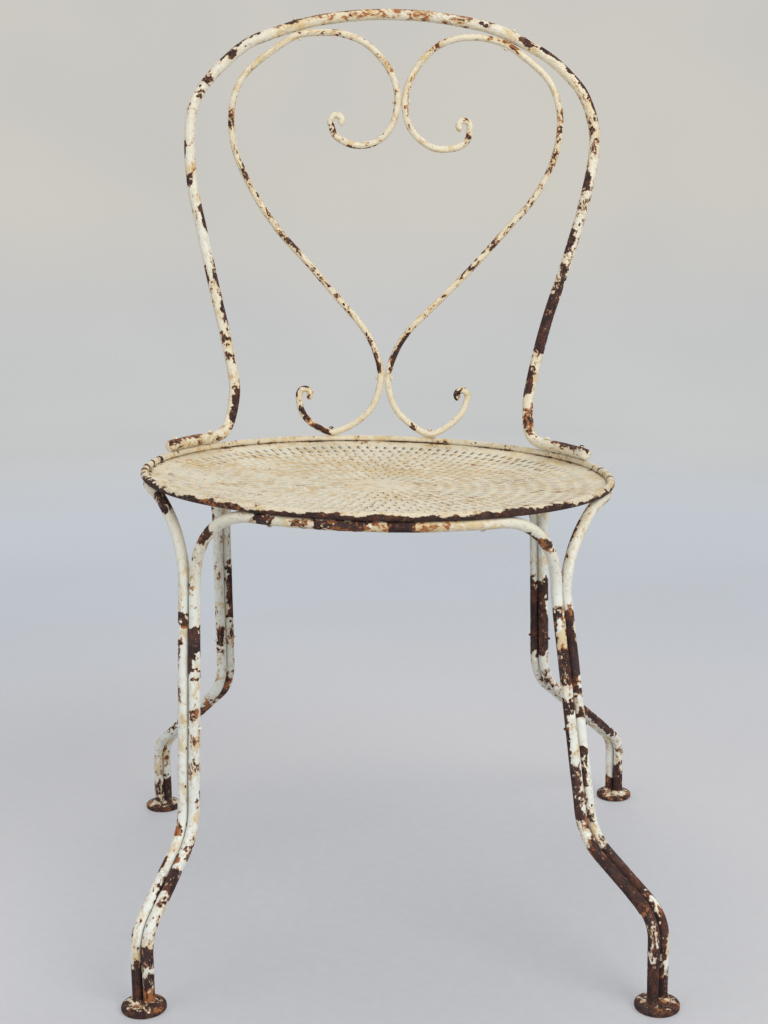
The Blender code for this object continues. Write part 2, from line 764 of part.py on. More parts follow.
def make_leg_rivets(bow_holes):
    """One rivet through the two bars of each leg."""
    shank = 2 * (PAIR_OFFSET + LEG_BAR / 2 + CLEARANCE)
    for leg in LEGS:
        path, _, side = leg_frame(leg)
        start = point_at_height(path, LEG_RIVET_HEIGHT) - side * shank / 2
        rivet(f"{leg}_leg_rivet", start, side, shank, RIVET_BAR, None, both_ends=True)
        for name, legs in BOWS.items():
            if leg in legs:
                bow_holes[name].append(hole_for(start, side, shank, RIVET_BAR))


def make_bows(seat_frame, rim_holes):
    """The four bows, drilled for the rivets that hold them to the ring and to each other."""
    bow_holes = {name: [] for name in BOWS}
    make_bow_rivets(seat_frame, rim_holes, bow_holes)
    make_leg_rivets(bow_holes)
    for name, legs in BOWS.items():
        bow = new_object(name, bar_mesh(bow_path(*legs), LEG_BAR), WHITE_PAINT)
        drill(bow, f"{name}_holes", bow_holes[name])


def make_feet():
    up = Vector((0, 0, 1))
    for leg, (_, foot, _, _) in LEGS.items():
        name = f"{leg}_foot"
        pad = new_object(name, foot_mesh(), RUSTED_IRON)
        pad.location = Vector((*foot, 0)) - MIDDLE
        _, _, side = leg_frame(leg)
        floor = pad.location + up * (FOOT_THICKNESS - SOCKET_DEPTH)
        for index, sign in enumerate((-1, 1)):
            start = floor + side * PAIR_OFFSET * sign
            socket = (start, up, SOCKET_DEPTH * 2, LEG_BAR + 2 * CLEARANCE)
            drill(pad, f"{name}_socket_{index}", [socket], SOCKET_SIDES)


def make_hoop_rivets(seat_frame, rim_holes, hoop_holes):
    """Two rivets down through each end of the hoop into the ring inside the rim."""
    down = Vector((0, 0, -1))
    above = HOOP_LEVEL + HOOP_BAR / 2 + CLEARANCE
    for side, sign in (("left", -1), ("right", 1)):
        for word, along in zip(("inner", "outer"), HOOP_RIVETS):
            start = ring_point(RING_RADIUS, hoop_foot_angle(sign) - sign * along, above)
            rivet(f"hoop_{side}_{word}_rivet", start, down, above, RIVET_BAR, seat_frame)
            hole = hole_for(start, down, above, RIVET_BAR)
            rim_holes.append(hole)
            hoop_holes.append(hole)


def pair_rivet(name, first, second, first_bar, second_bar, seat_frame):
    """A rivet through two bars that lie side by side, from their centres; gives back its hole."""
    direction = (second - first).normalized()
    start = first - direction * (first_bar / 2 + CLEARANCE)
    shank = (second - start).length + second_bar / 2 + CLEARANCE
    rivet(name, start, direction, shank, SCROLL_RIVET_BAR, seat_frame, both_ends=True)
    return hole_for(start, direction, shank, SCROLL_RIVET_BAR)


def make_scroll_rivets(seat_frame, rim_holes, hoop_holes, scroll_holes):
    """The rivets that hold each scroll to the rim and the hoop, and the scrolls to each other."""
    down = Vector((0, 0, -1))
    for side, sign in (("left", -1), ("right", 1)):
        rest = scroll_rest(sign)
        start = back_point(rest.x, rest.y, *scroll_depth(sign))
        start.z += SCROLL_BAR / 2 + CLEARANCE
        rivet(f"{side}_scroll_foot_rivet", start, down, start.z, SCROLL_RIVET_BAR, seat_frame)
        hole = hole_for(start, down, start.z, SCROLL_RIVET_BAR)
        rim_holes.append(hole)
        scroll_holes[sign].append(hole)

        on_hoop, on_scroll, _ = hoop_contact(sign)
        first = back_point(on_hoop.x, on_hoop.y, hoop_depth(), BACK_RAKE)
        second = back_point(on_scroll.x, on_scroll.y, *scroll_depth(sign))
        hole = pair_rivet(f"{side}_scroll_top_rivet", first, second, HOOP_BAR, SCROLL_BAR, seat_frame)
        hoop_holes.append(hole)
        scroll_holes[sign].append(hole)
    for word, meet in (("upper", MEET_UPPER), ("lower", MEET_LOWER)):
        ends = []
        for sign in (-1, 1):
            place = scroll_point(sign, meet)
            ends.append(back_point(place.x, place.y, *scroll_depth(sign)))
        hole = pair_rivet(f"scroll_{word}_rivet", *ends, SCROLL_BAR, SCROLL_BAR, seat_frame)
        scroll_holes[-1].append(hole)
        scroll_holes[1].append(hole)


def make_back(seat_frame, rim_holes):
    """The hoop and the scrolls, drilled for the rivets that hold them."""
    hoop_holes = []
    scroll_holes = {-1: [], 1: []}
    make_hoop_rivets(seat_frame, rim_holes, hoop_holes)
    make_scroll_rivets(seat_frame, rim_holes, hoop_holes, scroll_holes)
    hoop = new_object("back_hoop", bar_mesh(hoop_path(), HOOP_BAR), CREAM_PAINT, seat_frame)
    drill(hoop, "back_hoop_holes", hoop_holes)
    for side, sign in (("left", -1), ("right", 1)):
        mesh = bar_mesh(scroll_path(sign), SCROLL_BAR)
        scroll = new_object(f"{side}_scroll", mesh, CREAM_PAINT, seat_frame)
        drill(scroll, f"{side}_scroll_holes", scroll_holes[sign])


def main():
    clear_scene()
    seat_frame = bpy.data.objects.new("seat_frame", None)
    seat_frame.matrix_world = SEAT
    bpy.context.scene.collection.objects.link(seat_frame)
    rim_holes = []
    make_bows(seat_frame, rim_holes)
    make_back(seat_frame, rim_holes)
    make_seat(seat_frame, rim_holes)
    make_feet()


main()
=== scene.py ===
"""The finish of an old round-seated garden chair: peeling cream and white paint over rusted bar iron."""

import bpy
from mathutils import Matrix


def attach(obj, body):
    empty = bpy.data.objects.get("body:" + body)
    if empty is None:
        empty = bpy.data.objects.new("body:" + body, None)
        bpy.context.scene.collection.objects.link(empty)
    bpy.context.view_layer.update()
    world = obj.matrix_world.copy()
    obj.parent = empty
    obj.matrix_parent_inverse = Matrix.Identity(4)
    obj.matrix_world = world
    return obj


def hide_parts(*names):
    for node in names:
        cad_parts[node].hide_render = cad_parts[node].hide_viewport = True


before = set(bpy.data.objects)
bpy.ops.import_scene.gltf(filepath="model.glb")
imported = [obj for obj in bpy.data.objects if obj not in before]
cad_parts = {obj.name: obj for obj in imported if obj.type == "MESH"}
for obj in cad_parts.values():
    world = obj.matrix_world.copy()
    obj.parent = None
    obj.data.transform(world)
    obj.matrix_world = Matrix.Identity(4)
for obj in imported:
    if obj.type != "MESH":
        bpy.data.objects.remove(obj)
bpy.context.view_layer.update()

from math import atan, cos, degrees, pi, radians, sin, sqrt, tan, tau

import bpy
import numpy as np
from mathutils import Matrix, Vector
from mathutils.geometry import delaunay_2d_cdt
from mathutils.kdtree import KDTree

MM = 0.001

# The chair's sizes, as in the CAD model
CLEARANCE = 0.0003
SEAT_HEIGHT = 0.4085
SEAT_TILT = radians(1.86)
RING_RADIUS = 0.2115
ROLL_INNER = 0.0026
ROLL_OUTER = 0.0036
SHEET = 0.0010
CREASE_ANGLE = radians(207)
ROLL_END_ANGLE = radians(-128)
HEEL_ANGLE = radians(40)
DISH_DEPTH = 0.0105
DISH_POWER = 5
LEG_BAR = 0.0101
BOW_BEND = 0.0680
BOW_TUCK = 0.0035
KNEE_BEND = 0.0450
ANKLE_BEND = 0.0300
LEGS = {
    "front_left": (221.0, (-0.1975, -0.2272), (0.16, 0.123), 0.066),
    "front_right": (318.4, (0.2243, -0.2345), (0.30, 0.122), 0.079),
    "rear_right": (38.4, (0.2566, 0.2411), (0.02, 0.173), 0.067),
    "rear_left": (138.9, (-0.2413, 0.2250), (0.00, 0.166), 0.073),
}
BOWS = {
    "front_leg_bow": ("front_left", "front_right"),
    "right_leg_bow": ("front_right", "rear_right"),
    "rear_leg_bow": ("rear_right", "rear_left"),
    "left_leg_bow": ("rear_left", "front_left"),
}
FOOT_RADIUS = 0.0188
FOOT_THICKNESS = 0.0072
SOCKET_DEPTH = 0.0030
HOOP_BAR = 0.0112
SCROLL_BAR = 0.0070
BACK_WIDTH = 0.4080
BACK_HEIGHT = 0.4280
BACK_SHIFT = 0.0013
BACK_LEAN = radians(1.07)
BACK_RAKE = radians(10)
HOOP_FOOT_ANGLE = 45.0
HOOP_BEND = 0.0200
HOOP_TIP_ANGLE = 20.5
HOOP_BEND_TURNS = (0, radians(30), radians(60))
CROWN_SHARE = 0.8
EYE_RADIUS = 0.0070
EYE_HOLLOW = 0.0001
EYE_WINDING = 1.5
EYE_TURN = radians(255)
RIVET_SEAT = 0.0035
HOOP_LEFT = [
    (-0.725, 0.119), (-0.760, 0.206), (-0.848, 0.361), (-0.916, 0.485), (-0.970, 0.590),
    (-0.992, 0.692), (-0.981, 0.770), (-0.937, 0.815), (-0.866, 0.858), (-0.729, 0.918),
    (-0.574, 0.951), (-0.421, 0.975), (-0.200, 0.994),
]
HOOP_RIGHT = [
    (0.724, 0.117), (0.742, 0.180), (0.800, 0.307), (0.891, 0.454), (0.960, 0.582),
    (1.000, 0.700), (0.993, 0.762), (0.938, 0.832), (0.854, 0.878), (0.754, 0.916),
    (0.613, 0.951), (0.475, 0.977), (0.200, 0.997),
]
HOOP_TOP = (0.0, 1.0)

# The scrolls' points, in shares of half the back's width and of its height: left (-1) and right (1)
MEET_UPPER = (0.041, 0.801)
MEET_LOWER = (0.011, 0.15)
SCROLLS = {
    -1: {
        "upper": [(-0.286, 0.745), (-0.262, 0.718), (-0.174, 0.698), (-0.070, 0.704), (0.010, 0.740)],
        "shoulder": [(0.008, 0.862), (-0.109, 0.925), (-0.246, 0.951)],
        "side": [
            (-0.707, 0.856), (-0.766, 0.802), (-0.780, 0.740), (-0.750, 0.665), (-0.648, 0.570),
            (-0.527, 0.491), (-0.364, 0.411), (-0.221, 0.338), (-0.099, 0.276), (-0.031, 0.226),
        ],
        "lower": [(-0.030, 0.077), (-0.123, 0.035)],
        "curl": [(-0.338, 0.036), (-0.390, 0.068), (-0.401, 0.100)],
        "touch": 0.49, "rest": -0.23,
    },
    1: {
        "upper": [
            (0.369, 0.748), (0.361, 0.722), (0.330, 0.706), (0.270, 0.697), (0.191, 0.698), (0.078, 0.738),
        ],
        "shoulder": [(0.072, 0.862), (0.170, 0.924), (0.265, 0.948), (0.391, 0.955)],
        "side": [
            (0.742, 0.867), (0.798, 0.814), (0.816, 0.750), (0.790, 0.678), (0.705, 0.592), (0.584, 0.520),
            (0.397, 0.414), (0.207, 0.317), (0.111, 0.268), (0.050, 0.220),
        ],
        "lower": [(0.054, 0.080), (0.131, 0.043)],
        "curl": [(0.333, 0.042), (0.400, 0.077), (0.420, 0.110)],
        "touch": 0.57, "rest": 0.234,
    },
}

HOOP_DEPTH = RING_RADIUS * cos(radians(HOOP_FOOT_ANGLE))
BOW_RADIUS = RING_RADIUS - BOW_TUCK
BOW_LEVEL = -sqrt((ROLL_OUTER + CLEARANCE + LEG_BAR / 2) ** 2 - BOW_TUCK**2)
HOOP_LEVEL = ROLL_OUTER + CLEARANCE + HOOP_BAR / 2
SCROLL_LEVEL = ROLL_OUTER + CLEARANCE + SCROLL_BAR / 2
PAIR_OFFSET = (LEG_BAR + CLEARANCE) / 2
SCROLL_SPREAD = (SCROLL_BAR + CLEARANCE) / 2

# Fineness of the centre lines and of the bars
SPLINE_STEPS = 24
ARC_STEP = radians(2)
BEND_STEPS = 40
BAR_STEP = 0.0010
LEG_SIDES = 30
HOOP_SIDES = 32
SCROLL_SIDES = 24
FOOT_SIDES = 72
RIVET_SIDES = 24

# Reach of the shade between bars, and how the patches of wear end along and round a bar
CREVICE_REACH = 0.0012
PATCH_EDGE = 0.0045
PATCH_SPREAD = 1.02

# A lap of loose scale on the front right leg: place, facing, rise and fade
LAP = (1.0830, "left-down", 0.0009, 0.030)

# The seat: rows of slots that point to its middle, each with one lip raised, and the pleats of its rim
ROW_PITCH = 0.0125
FIRST_ROW = 0.1880
LAST_ROW = 0.0300
SLOT_PITCH = 0.0093
SLOT_LENGTH = 0.0080
SLOT_WIDTH = 0.0018
LIP_WIDTH = 0.0012
LIP_UP = 0.0003
SHEET_GRID = 0.0050
CREVICE_RADIUS = 0.2082
RIM_SIDES = 900
ROLL_STEPS = 26
PLEATS = 58

# Lift, darkness and paleness at the eight points of a slot's edge, and of the outline round its lips.
# The darkness is dirt and painted shade; the paleness is a painted highlight on the side of the raised lip
SLOT_EDGE = [(0.2 * LIP_UP, 1, 0)] * 2 + [(0, 1, 0)] * 2 + [(LIP_UP, 1, 0)] * 2 + [(0, 1, 0)] * 2
SLOT_SURROUND = [(0, 0.55, 0)] * 2 + [(0, 0, 0)] * 2 + [(0, 0, 0.55)] * 2 + [(0, 0, 0)] * 2

BACKDROP_SIDES = 128

# The ways that a patch can face. Two words give the way between them
FACING = {
    "front": (0, -1, 0), "back": (0, 1, 0), "left": (-1, 0, 0), "right": (1, 0, 0),
    "up": (0, 0, 1), "down": (0, 0, -1),
}

# Where the paint has gone: from and to along a bar in millimetres, how bare it is in percent (45 a few chips,
# 70 half, 90 nearly all), how orange its rust is, and which way it faces if not to the front
PATCHES = {
    "front_leg_bow": [
        (0, 19, 84, 90, "round"), (19, 31, 86, -30, "round"), (31, 34, 20, 0, "round"),
        (34, 54, 82, -20, "round"), (56, 66, 66, 10, "front-right"), (80, 92, 72, 50),
        (92, 106, 78, 0, "front-right"), (97, 120, 90, -10, "round"), (120, 140, 92, 80, "front-left"),
        (130, 148, 74, 10, "front-right"), (151, 158, 74, 0, "front-right"), (181, 190, 80, 10, "right"),
        (212, 226, 56, 0), (242, 248, 74, -20, "front-left"), (254, 259, 76, 20), (261, 266, 84, 60),
        (293, 336, 93, -20, "round"), (301, 311, 30, 0, "front-right"), (336, 380, 40, 0, "round"),
        (353, 356, 78, 60), (367, 373, 76, 80, "front-left"), (397, 399, 85, 0),
        (414, 434, 95, 35, "front-left"), (436, 462, 36, 0, "round"), (462, 476, 60, 20),
        (484, 495, 93, -20, "round"), (496, 514, 42, 260, "round"), (514, 533, 60, 90), (533, 544, 76, 0),
        (544, 557, 84, 60), (557, 572, 95, -30), (572, 586, 80, 100), (584, 592, 50, 220),
        (590, 615, 94, 25, "round"), (612, 638, 66, 160), (638, 655, 60, 160), (655, 692, 46, 200, "round"),
        (692, 730, 32, 0, "round"), (716, 752, 88, 10, "down"), (731, 750, 84, 90),
        (752, 803, 38, 0, "round"), (804, 870, 95, -15, "round"), (806, 822, 62, 60, "front-right"),
        (818, 843, 50, 320), (842, 869, 84, 20), (870, 885, 52, 30), (885, 894, 90, -10, "round"),
        (893, 990, 92, -10, "left"), (893, 935, 52, 20, "front-right"), (935, 984, 78, 20),
        (984, 1007, 66, 50, "round"), (1007, 1092, 97, 15, "round"), (1007, 1020, 85, 100, "front-left"),
        (1080, 1086, 95, 90), (1092, 1130, 86, -30, "round"), (1094, 1122, 70, -30),
        (1130, 1170, 96, 0, "round"),
    ],
    "right_leg_bow": [
        (0, 26, 96, 0, "round"), (26, 32, 86, 100, "right"), (32, 58, 40, 80, "right"),
        (26, 60, 84, 0, "front-left"), (58, 150, 96, 20, "round"), (62, 92, 60, 40, "up"),
        (150, 176, 62, 40), (176, 232, 72, 0, "front-left"), (178, 230, 40, 0, "right"), (232, 239, 82, 0),
        (239, 262, 32, 0, "round"), (262, 270, 93, -20, "round"), (270, 281, 50, 40), (281, 297, 88, 60),
        (297, 358, 96, -10, "round"), (318, 345, 66, 0, "right"), (352, 358, 74, 70),
        (358, 405, 30, 0, "round"), (362, 440, 66, 0, "left"), (470, 500, 74, 50, "right-down"),
        (560, 590, 80, 0, "right"), (640, 668, 70, 60, "right-down"), (779, 857, 90, 0, "round"),
        (800, 815, 50, 20, "right"), (857, 926, 48, 20, "round"), (870, 910, 66, 40),
        (935, 1040, 95, 0, "front-right"), (1044, 1052, 74, 80, "front-right"), (1060, 1085, 60, 60),
        (1085, 1120, 84, 20, "round"),
    ],
    "rear_leg_bow": [
        (0, 18, 84, 20, "round"), (18, 56, 52, 80), (50, 168, 92, 0, "up"), (66, 130, 56, 160),
        (168, 258, 50, 30, "round"), (205, 240, 66, 40), (262, 338, 90, -10, "round"),
        (395, 420, 76, 30, "back"), (500, 530, 84, 0, "back-down"), (600, 650, 62, 60, "back"),
        (700, 716, 86, 0, "back"), (866, 923, 93, 0, "front-right"), (872, 890, 66, 0, "front-left"),
        (835, 850, 66, 40), (930, 960, 56, 80, "round"), (980, 1022, 88, 80, "front-down"),
        (1028, 1062, 88, 70, "front-down"), (1096, 1128, 95, -20, "front-up"),
        (1126, 1166, 76, 100, "front-up"), (1178, 1209, 80, 0, "round"),
    ],
    "left_leg_bow": [
        (0, 30, 76, 10, "round"), (32, 62, 56, 90), (100, 136, 90, 0, "front-up"),
        (150, 196, 86, 90, "down"), (174, 190, 90, 30, "right"), (256, 276, 88, 0),
        (292, 300, 74, 0, "left"), (380, 410, 72, 40, "left"), (455, 470, 86, 0, "left-down"),
        (520, 575, 60, 60, "left"), (600, 618, 80, 40, "left-down"), (660, 690, 76, 0, "round"),
        (690, 730, 34, 0, "round"), (774, 786, 95, 20, "front-left"), (780, 788, 90, 90),
        (800, 805, 84, 30, "front-left"), (809, 856, 66, -20, "left"), (905, 925, 62, 40, "left"),
        (960, 971, 84, 90, "front-left"), (996, 1007, 80, 0, "left"), (1014, 1034, 84, 30, "right"),
        (1056, 1066, 70, 50, "left"), (1074, 1088, 58, 100), (1089, 1118, 96, -30, "round"),
        (1118, 1130, 80, 0, "round"),
    ],
    "back_hoop": [
        (0, 58, 86, 70, "up"), (0, 60, 62, 80), (60, 96, 50, 40, "round"),
        (98, 136, 92, -10, "front-right"), (163, 173, 86, 20), (182, 190, 82, 0),
        (199, 231, 80, 0, "right"), (234, 272, 76, 0, "right"), (245, 262, 78, 20, "left"),
        (272, 295, 30, 0, "round"), (295, 326, 94, -10, "right"), (342, 355, 90, 0, "front-left"),
        (368, 390, 84, 0, "left"), (392, 430, 52, 30, "round"), (433, 441, 88, 0), (448, 456, 88, 10),
        (474, 526, 84, 10, "up-left"), (486, 493, 78, 0), (530, 585, 64, 40, "up"), (545, 560, 86, 0, "up"),
        (584, 735, 84, 100, "up"), (590, 730, 64, 130), (746, 759, 84, 20, "front-up"),
        (787, 800, 84, 0, "front-up"), (812, 886, 95, -20, "up-right"), (886, 914, 84, 0, "right"),
        (922, 930, 86, 0), (898, 1078, 56, 10), (952, 974, 86, 0, "front-left"),
        (984, 1010, 72, 20, "left"), (1013, 1039, 80, 10, "front-left"), (1046, 1079, 76, 0),
        (1079, 1139, 95, -10, "round"), (1139, 1158, 66, 20, "front-left"),
        (1158, 1188, 84, 0, "front-left"), (1198, 1227, 82, 50), (1227, 1262, 52, 70, "round"),
        (1262, 1322, 84, 50, "up"), (1270, 1322, 66, 70), (300, 330, 80, 0, "back"),
        (520, 560, 78, 20, "back-down"), (700, 760, 66, 70, "back"), (1000, 1040, 84, 0, "back"),
        (150, 176, 84, 20, "back"), (405, 432, 80, 0, "back"), (880, 925, 86, 10, "back"),
    ],
    "left_scroll": [
        (22, 29, 86, 0), (31, 37, 80, 40), (48, 82, 90, 0, "down"), (60, 100, 56, 60), (100, 145, 56, 20),
        (157, 178, 62, 140, "front-right"), (180, 300, 52, 60), (376, 382, 74, 0), (386, 390, 72, 40),
        (200, 240, 80, 0, "back"), (520, 560, 80, 10, "back"), (700, 728, 84, 0, "back"), (395, 640, 60, 0),
        (424, 436, 76, 10, "front-right"), (505, 540, 78, -10, "front-right"),
        (560, 600, 66, 0, "front-left"), (640, 684, 84, 10, "front-left"), (690, 750, 34, 0, "round"),
        (776, 793, 97, 0), (798, 808, 90, 50), (809, 822, 94, 0, "front-right"),
        (827, 835, 94, -20, "left"), (838, 846, 94, -20, "up"), (850, 858, 88, 20),
    ],
    "right_scroll": [
        (0, 26, 52, 80), (32, 40, 88, 40), (60, 130, 48, 60), (165, 200, 66, 90), (205, 250, 46, 20),
        (250, 258, 78, 100, "front-up"), (266, 286, 76, 100, "front-up"), (290, 350, 48, 20),
        (376, 382, 84, 10), (300, 330, 82, 0, "back"), (600, 640, 80, 20, "back"),
        (220, 240, 80, 0, "back"), (384, 410, 52, 0), (410, 640, 61, 10), (470, 500, 70, 0, "front-right"),
        (538, 562, 74, 0, "front-left"), (640, 682, 86, 20, "front-right"), (690, 820, 34, 0, "round"),
        (745, 751, 84, 0), (838, 850, 90, 20, "round"),
    ],
}

# How bare the rivets are, by a part of their names
RIVET_WEAR = {
    "front_right_leg": 0.95, "rear_right_leg": 0.95, "_bow_": 0.62, "outer": 0.72, "scroll_foot": 0.60,
}


def floor_middle():
    """The middle of the ground that the feet cover, in the coordinates of the LEGS table."""
    xs = [foot[0] for _, foot, _, _ in LEGS.values()]
    ys = [foot[1] for _, foot, _, _ in LEGS.values()]
    return Vector((min(xs) + max(xs), min(ys) + max(ys), 0)) / 2


MIDDLE = floor_middle()
SEAT = Matrix.Translation(Vector((0, 0, SEAT_HEIGHT)) - MIDDLE) @ Matrix.Rotation(SEAT_TILT, 4, "Y")


# Centre lines of the bars


def ring_point(radius, angle, height):
    turn = radians(angle)
    return Vector((radius * cos(turn), radius * sin(turn), height))


def smooth_path(points):
    """A centripetal curve through the points."""
    points = [Vector(p) for p in points]
    padded = [points[0] * 2 - points[1], *points, points[-1] * 2 - points[-2]]
    path = []
    for before, start, end, after in zip(padded, padded[1:], padded[2:], padded[3:]):
        a, b, c = (sqrt((q - p).length) for p, q in ((before, start), (start, end), (end, after)))
        leave = (start - before) / a - (end - before) / (a + b) + (end - start) / b
        arrive = (end - start) / b - (after - start) / (b + c) + (after - end) / c
        for step in range(SPLINE_STEPS):
            t = step / SPLINE_STEPS
            path.append(
                start * (2 * t**3 - 3 * t**2 + 1) + leave * b * (t**3 - 2 * t**2 + t)
                + end * (3 * t**2 - 2 * t**3) + arrive * b * (t**3 - t**2)
            )
    return [*path, points[-1]]


def bent_path(corners, bends):
    """Straight runs between the corners, with an arc of the given radius at each inner corner."""
    path = [corners[0]]
    for before, corner, after, bend in zip(corners, corners[1:], corners[2:], bends):
        to_before = (before - corner).normalized()
        to_after = (after - corner).normalized()
        half = to_before.angle(to_after) / 2
        centre = corner + (to_before + to_after).normalized() * bend / sin(half)
        start = corner + to_before * bend / tan(half) - centre
        end = corner + to_after * bend / tan(half) - centre
        steps = max(2, round(start.angle(end) / ARC_STEP))
        path += [centre + start.slerp(end, i / steps).normalized() * bend for i in range(steps + 1)]
    return [*path, corners[-1]]


def leg_frame(name):
    """A leg's centre line from the bow's bend to the foot, the ring's way, and the way between its bars."""
    angle, foot, knee, ankle_height = LEGS[name]
    top = SEAT @ ring_point(BOW_RADIUS, angle, BOW_LEVEL - BOW_BEND)
    end = Vector((*foot, FOOT_THICKNESS - SOCKET_DEPTH + CLEARANCE)) - MIDDLE
    reach = Vector((end.x - top.x, end.y - top.y, 0))
    knee_point = Vector((top.x, top.y, knee[1])) + reach * knee[0]
    ankle_point = Vector((end.x, end.y, ankle_height))
    path = bent_path([top, knee_point, ankle_point, end], [KNEE_BEND, ANKLE_BEND])
    side = Vector((-reach.y, reach.x, 0)).normalized()
    tangent = SEAT.to_3x3() @ ring_point(1, angle + 90, 0)
    return path, tangent, side if side.dot(tangent) > 0 else -side


def leg_bar(name, sign):
    path, _, side = leg_frame(name)
    return [place + side * PAIR_OFFSET * sign for place in path]


def bow_bend(name, sign):
    """The arc from a leg's bar up to the level run under the rim, and the angle where it ends."""
    _, tangent, side = leg_frame(name)
    bar_angle = LEGS[name][0] + sign * degrees(PAIR_OFFSET / BOW_RADIUS)
    arc = []
    for i in range(1, BEND_STEPS + 1):
        turn = pi / 2 * i / BEND_STEPS
        along = degrees(BOW_BEND * (1 - cos(turn)) / BOW_RADIUS)
        height = BOW_LEVEL - BOW_BEND * (1 - sin(turn))
        off_ring = (side - tangent) * PAIR_OFFSET * sign * (1 - sin(turn))
        arc.append(SEAT @ ring_point(BOW_RADIUS, bar_angle + sign * along, height) + off_ring)
    return arc, bar_angle + sign * along


def bow_path(start_leg, end_leg):
    """The whole bow: up one leg, round under the rim, down the next leg."""
    first_arc, from_angle = bow_bend(start_leg, 1)
    last_arc, to_angle = bow_bend(end_leg, -1)
    span = (to_angle - from_angle) % 360
    steps = round(radians(span) / ARC_STEP)
    level_run = [
        SEAT @ ring_point(BOW_RADIUS, from_angle + span * i / steps, BOW_LEVEL) for i in range(1, steps)
    ]
    return [*leg_bar(start_leg, 1)[::-1], *first_arc, *level_run, *last_arc[::-1], *leg_bar(end_leg, -1)]


def back_point(across, height, foot_depth, rake):
    """A point of the back in the seat's frame: across and height in its own leaning, raked plane."""
    x = BACK_SHIFT + across * cos(BACK_LEAN) + height * sin(BACK_LEAN)
    z = height * cos(BACK_LEAN) - across * sin(BACK_LEAN)
    return Vector((x, foot_depth + height * tan(rake), z))


def hoop_plane_path():
    shares = [*HOOP_LEFT, HOOP_TOP, *HOOP_RIGHT[::-1]]
    return [Vector((a * BACK_WIDTH / 2, b * BACK_HEIGHT, 0)) for a, b in shares]


def hoop_end(sign):
    """One end of the hoop in the seat's frame: its run along the rim, and the bend up from it."""
    foot_angle = 90 - sign * (HOOP_FOOT_ANGLE + degrees(HOOP_BEND / RING_RADIUS))
    turns = [foot_angle - sign * HOOP_TIP_ANGLE * (1 - i / BEND_STEPS) for i in range(BEND_STEPS)]
    run = [ring_point(RING_RADIUS, turn, HOOP_LEVEL) for turn in turns]
    bend = []
    for turn in HOOP_BEND_TURNS:
        angle = foot_angle + sign * degrees(HOOP_BEND * sin(turn) / RING_RADIUS)
        bend.append(ring_point(RING_RADIUS, angle, HOOP_LEVEL + HOOP_BEND * (1 - cos(turn))))
    return run, bend


def hoop_path():
    arch = [back_point(p.x, p.y, HOOP_DEPTH, BACK_RAKE) for p in hoop_plane_path()]
    left_run, left_bend = hoop_end(-1)
    right_run, right_bend = hoop_end(1)
    whole = [*left_run, *smooth_path([*left_bend, *arch, *right_bend[::-1]]), *right_run[::-1]]
    return [SEAT @ p for p in whole]


def hoop_contact(sign):
    """Where a scroll meets the hoop in the plane of the back: the scroll's centre, and the way along."""
    path = smooth_path(hoop_plane_path())
    goal = sign * SCROLLS[sign]["touch"] * BACK_WIDTH / 2
    crown = [p for p in path if p.y > BACK_HEIGHT * CROWN_SHARE]
    start, end = next(pair for pair in zip(crown, crown[1:]) if pair[0].x <= goal <= pair[1].x)
    along = (end - start).normalized()
    inward = Vector((along.y, -along.x, 0))
    place = start.lerp(end, (goal - start.x) / (end.x - start.x))
    return place + inward * ((HOOP_BAR + SCROLL_BAR) / 2 + CLEARANCE), Vector((-inward.y, inward.x, 0)) * sign


def scroll_rest(sign):
    across = SCROLLS[sign]["rest"] * BACK_WIDTH / 2 + sign * SCROLL_SPREAD
    return Vector((across, SCROLL_LEVEL / cos(BACK_LEAN) + across * tan(BACK_LEAN), 0))


def scroll_point(sign, share):
    return Vector((share[0] * BACK_WIDTH / 2 + sign * SCROLL_SPREAD, share[1] * BACK_HEIGHT, 0))


def scroll_plan(sign):
    """A scroll's control points in the plane of the back, from upper eye to lower eye."""
    scroll = SCROLLS[sign]
    upper = [*scroll["upper"], MEET_UPPER, *scroll["shoulder"]]
    side = [*scroll["side"], MEET_LOWER, *scroll["lower"]]
    before, between, after = (
        [scroll_point(sign, share) for share in shares] for shares in (upper, side, scroll["curl"])
    )
    contact, along = hoop_contact(sign)
    top_seat = [contact - along * RIVET_SEAT, contact + along * RIVET_SEAT]
    run = Vector((sign * RIVET_SEAT, 0, 0))
    foot_seat = [scroll_rest(sign) - run, scroll_rest(sign) + run]
    return [*before, *top_seat, *between, *foot_seat, *after]


def eye_arc(end, before, turn):
    """A tight curl that carries on from the end of a path and winds inwards, in its plane."""
    along = (end - before).normalized()
    inward = Vector((-along.y, along.x, 0)) * turn
    centre = end + inward * EYE_RADIUS
    tip_radius = SCROLL_BAR / 2 + EYE_HOLLOW
    arc = []
    for i in range(1, BEND_STEPS + 1):
        share = i / BEND_STEPS
        radius = EYE_RADIUS + (tip_radius - EYE_RADIUS) * share**EYE_WINDING
        arc.append(centre - Matrix.Rotation(turn * EYE_TURN * share, 3, "Z") @ inward * radius)
    return arc


def scroll_path(sign):
    plan = smooth_path(scroll_plan(sign))
    foot = scroll_rest(sign)
    foot_depth = sqrt(RING_RADIUS**2 - back_point(foot.x, foot.y, 0, 0).x ** 2)
    top = hoop_contact(sign)[0]
    top_depth = HOOP_DEPTH + top.y * tan(BACK_RAKE)
    rake = atan((top_depth - foot_depth) / (top.y - foot.y))
    depth = foot_depth - foot.y * tan(rake)
    upper_eye = eye_arc(plan[0], plan[1], sign)
    lower_eye = eye_arc(plan[-1], plan[-2], sign)
    whole = [*upper_eye[::-1], *plan, *lower_eye]
    return [SEAT @ back_point(p.x, p.y, depth, rake) for p in whole]


# Meshes


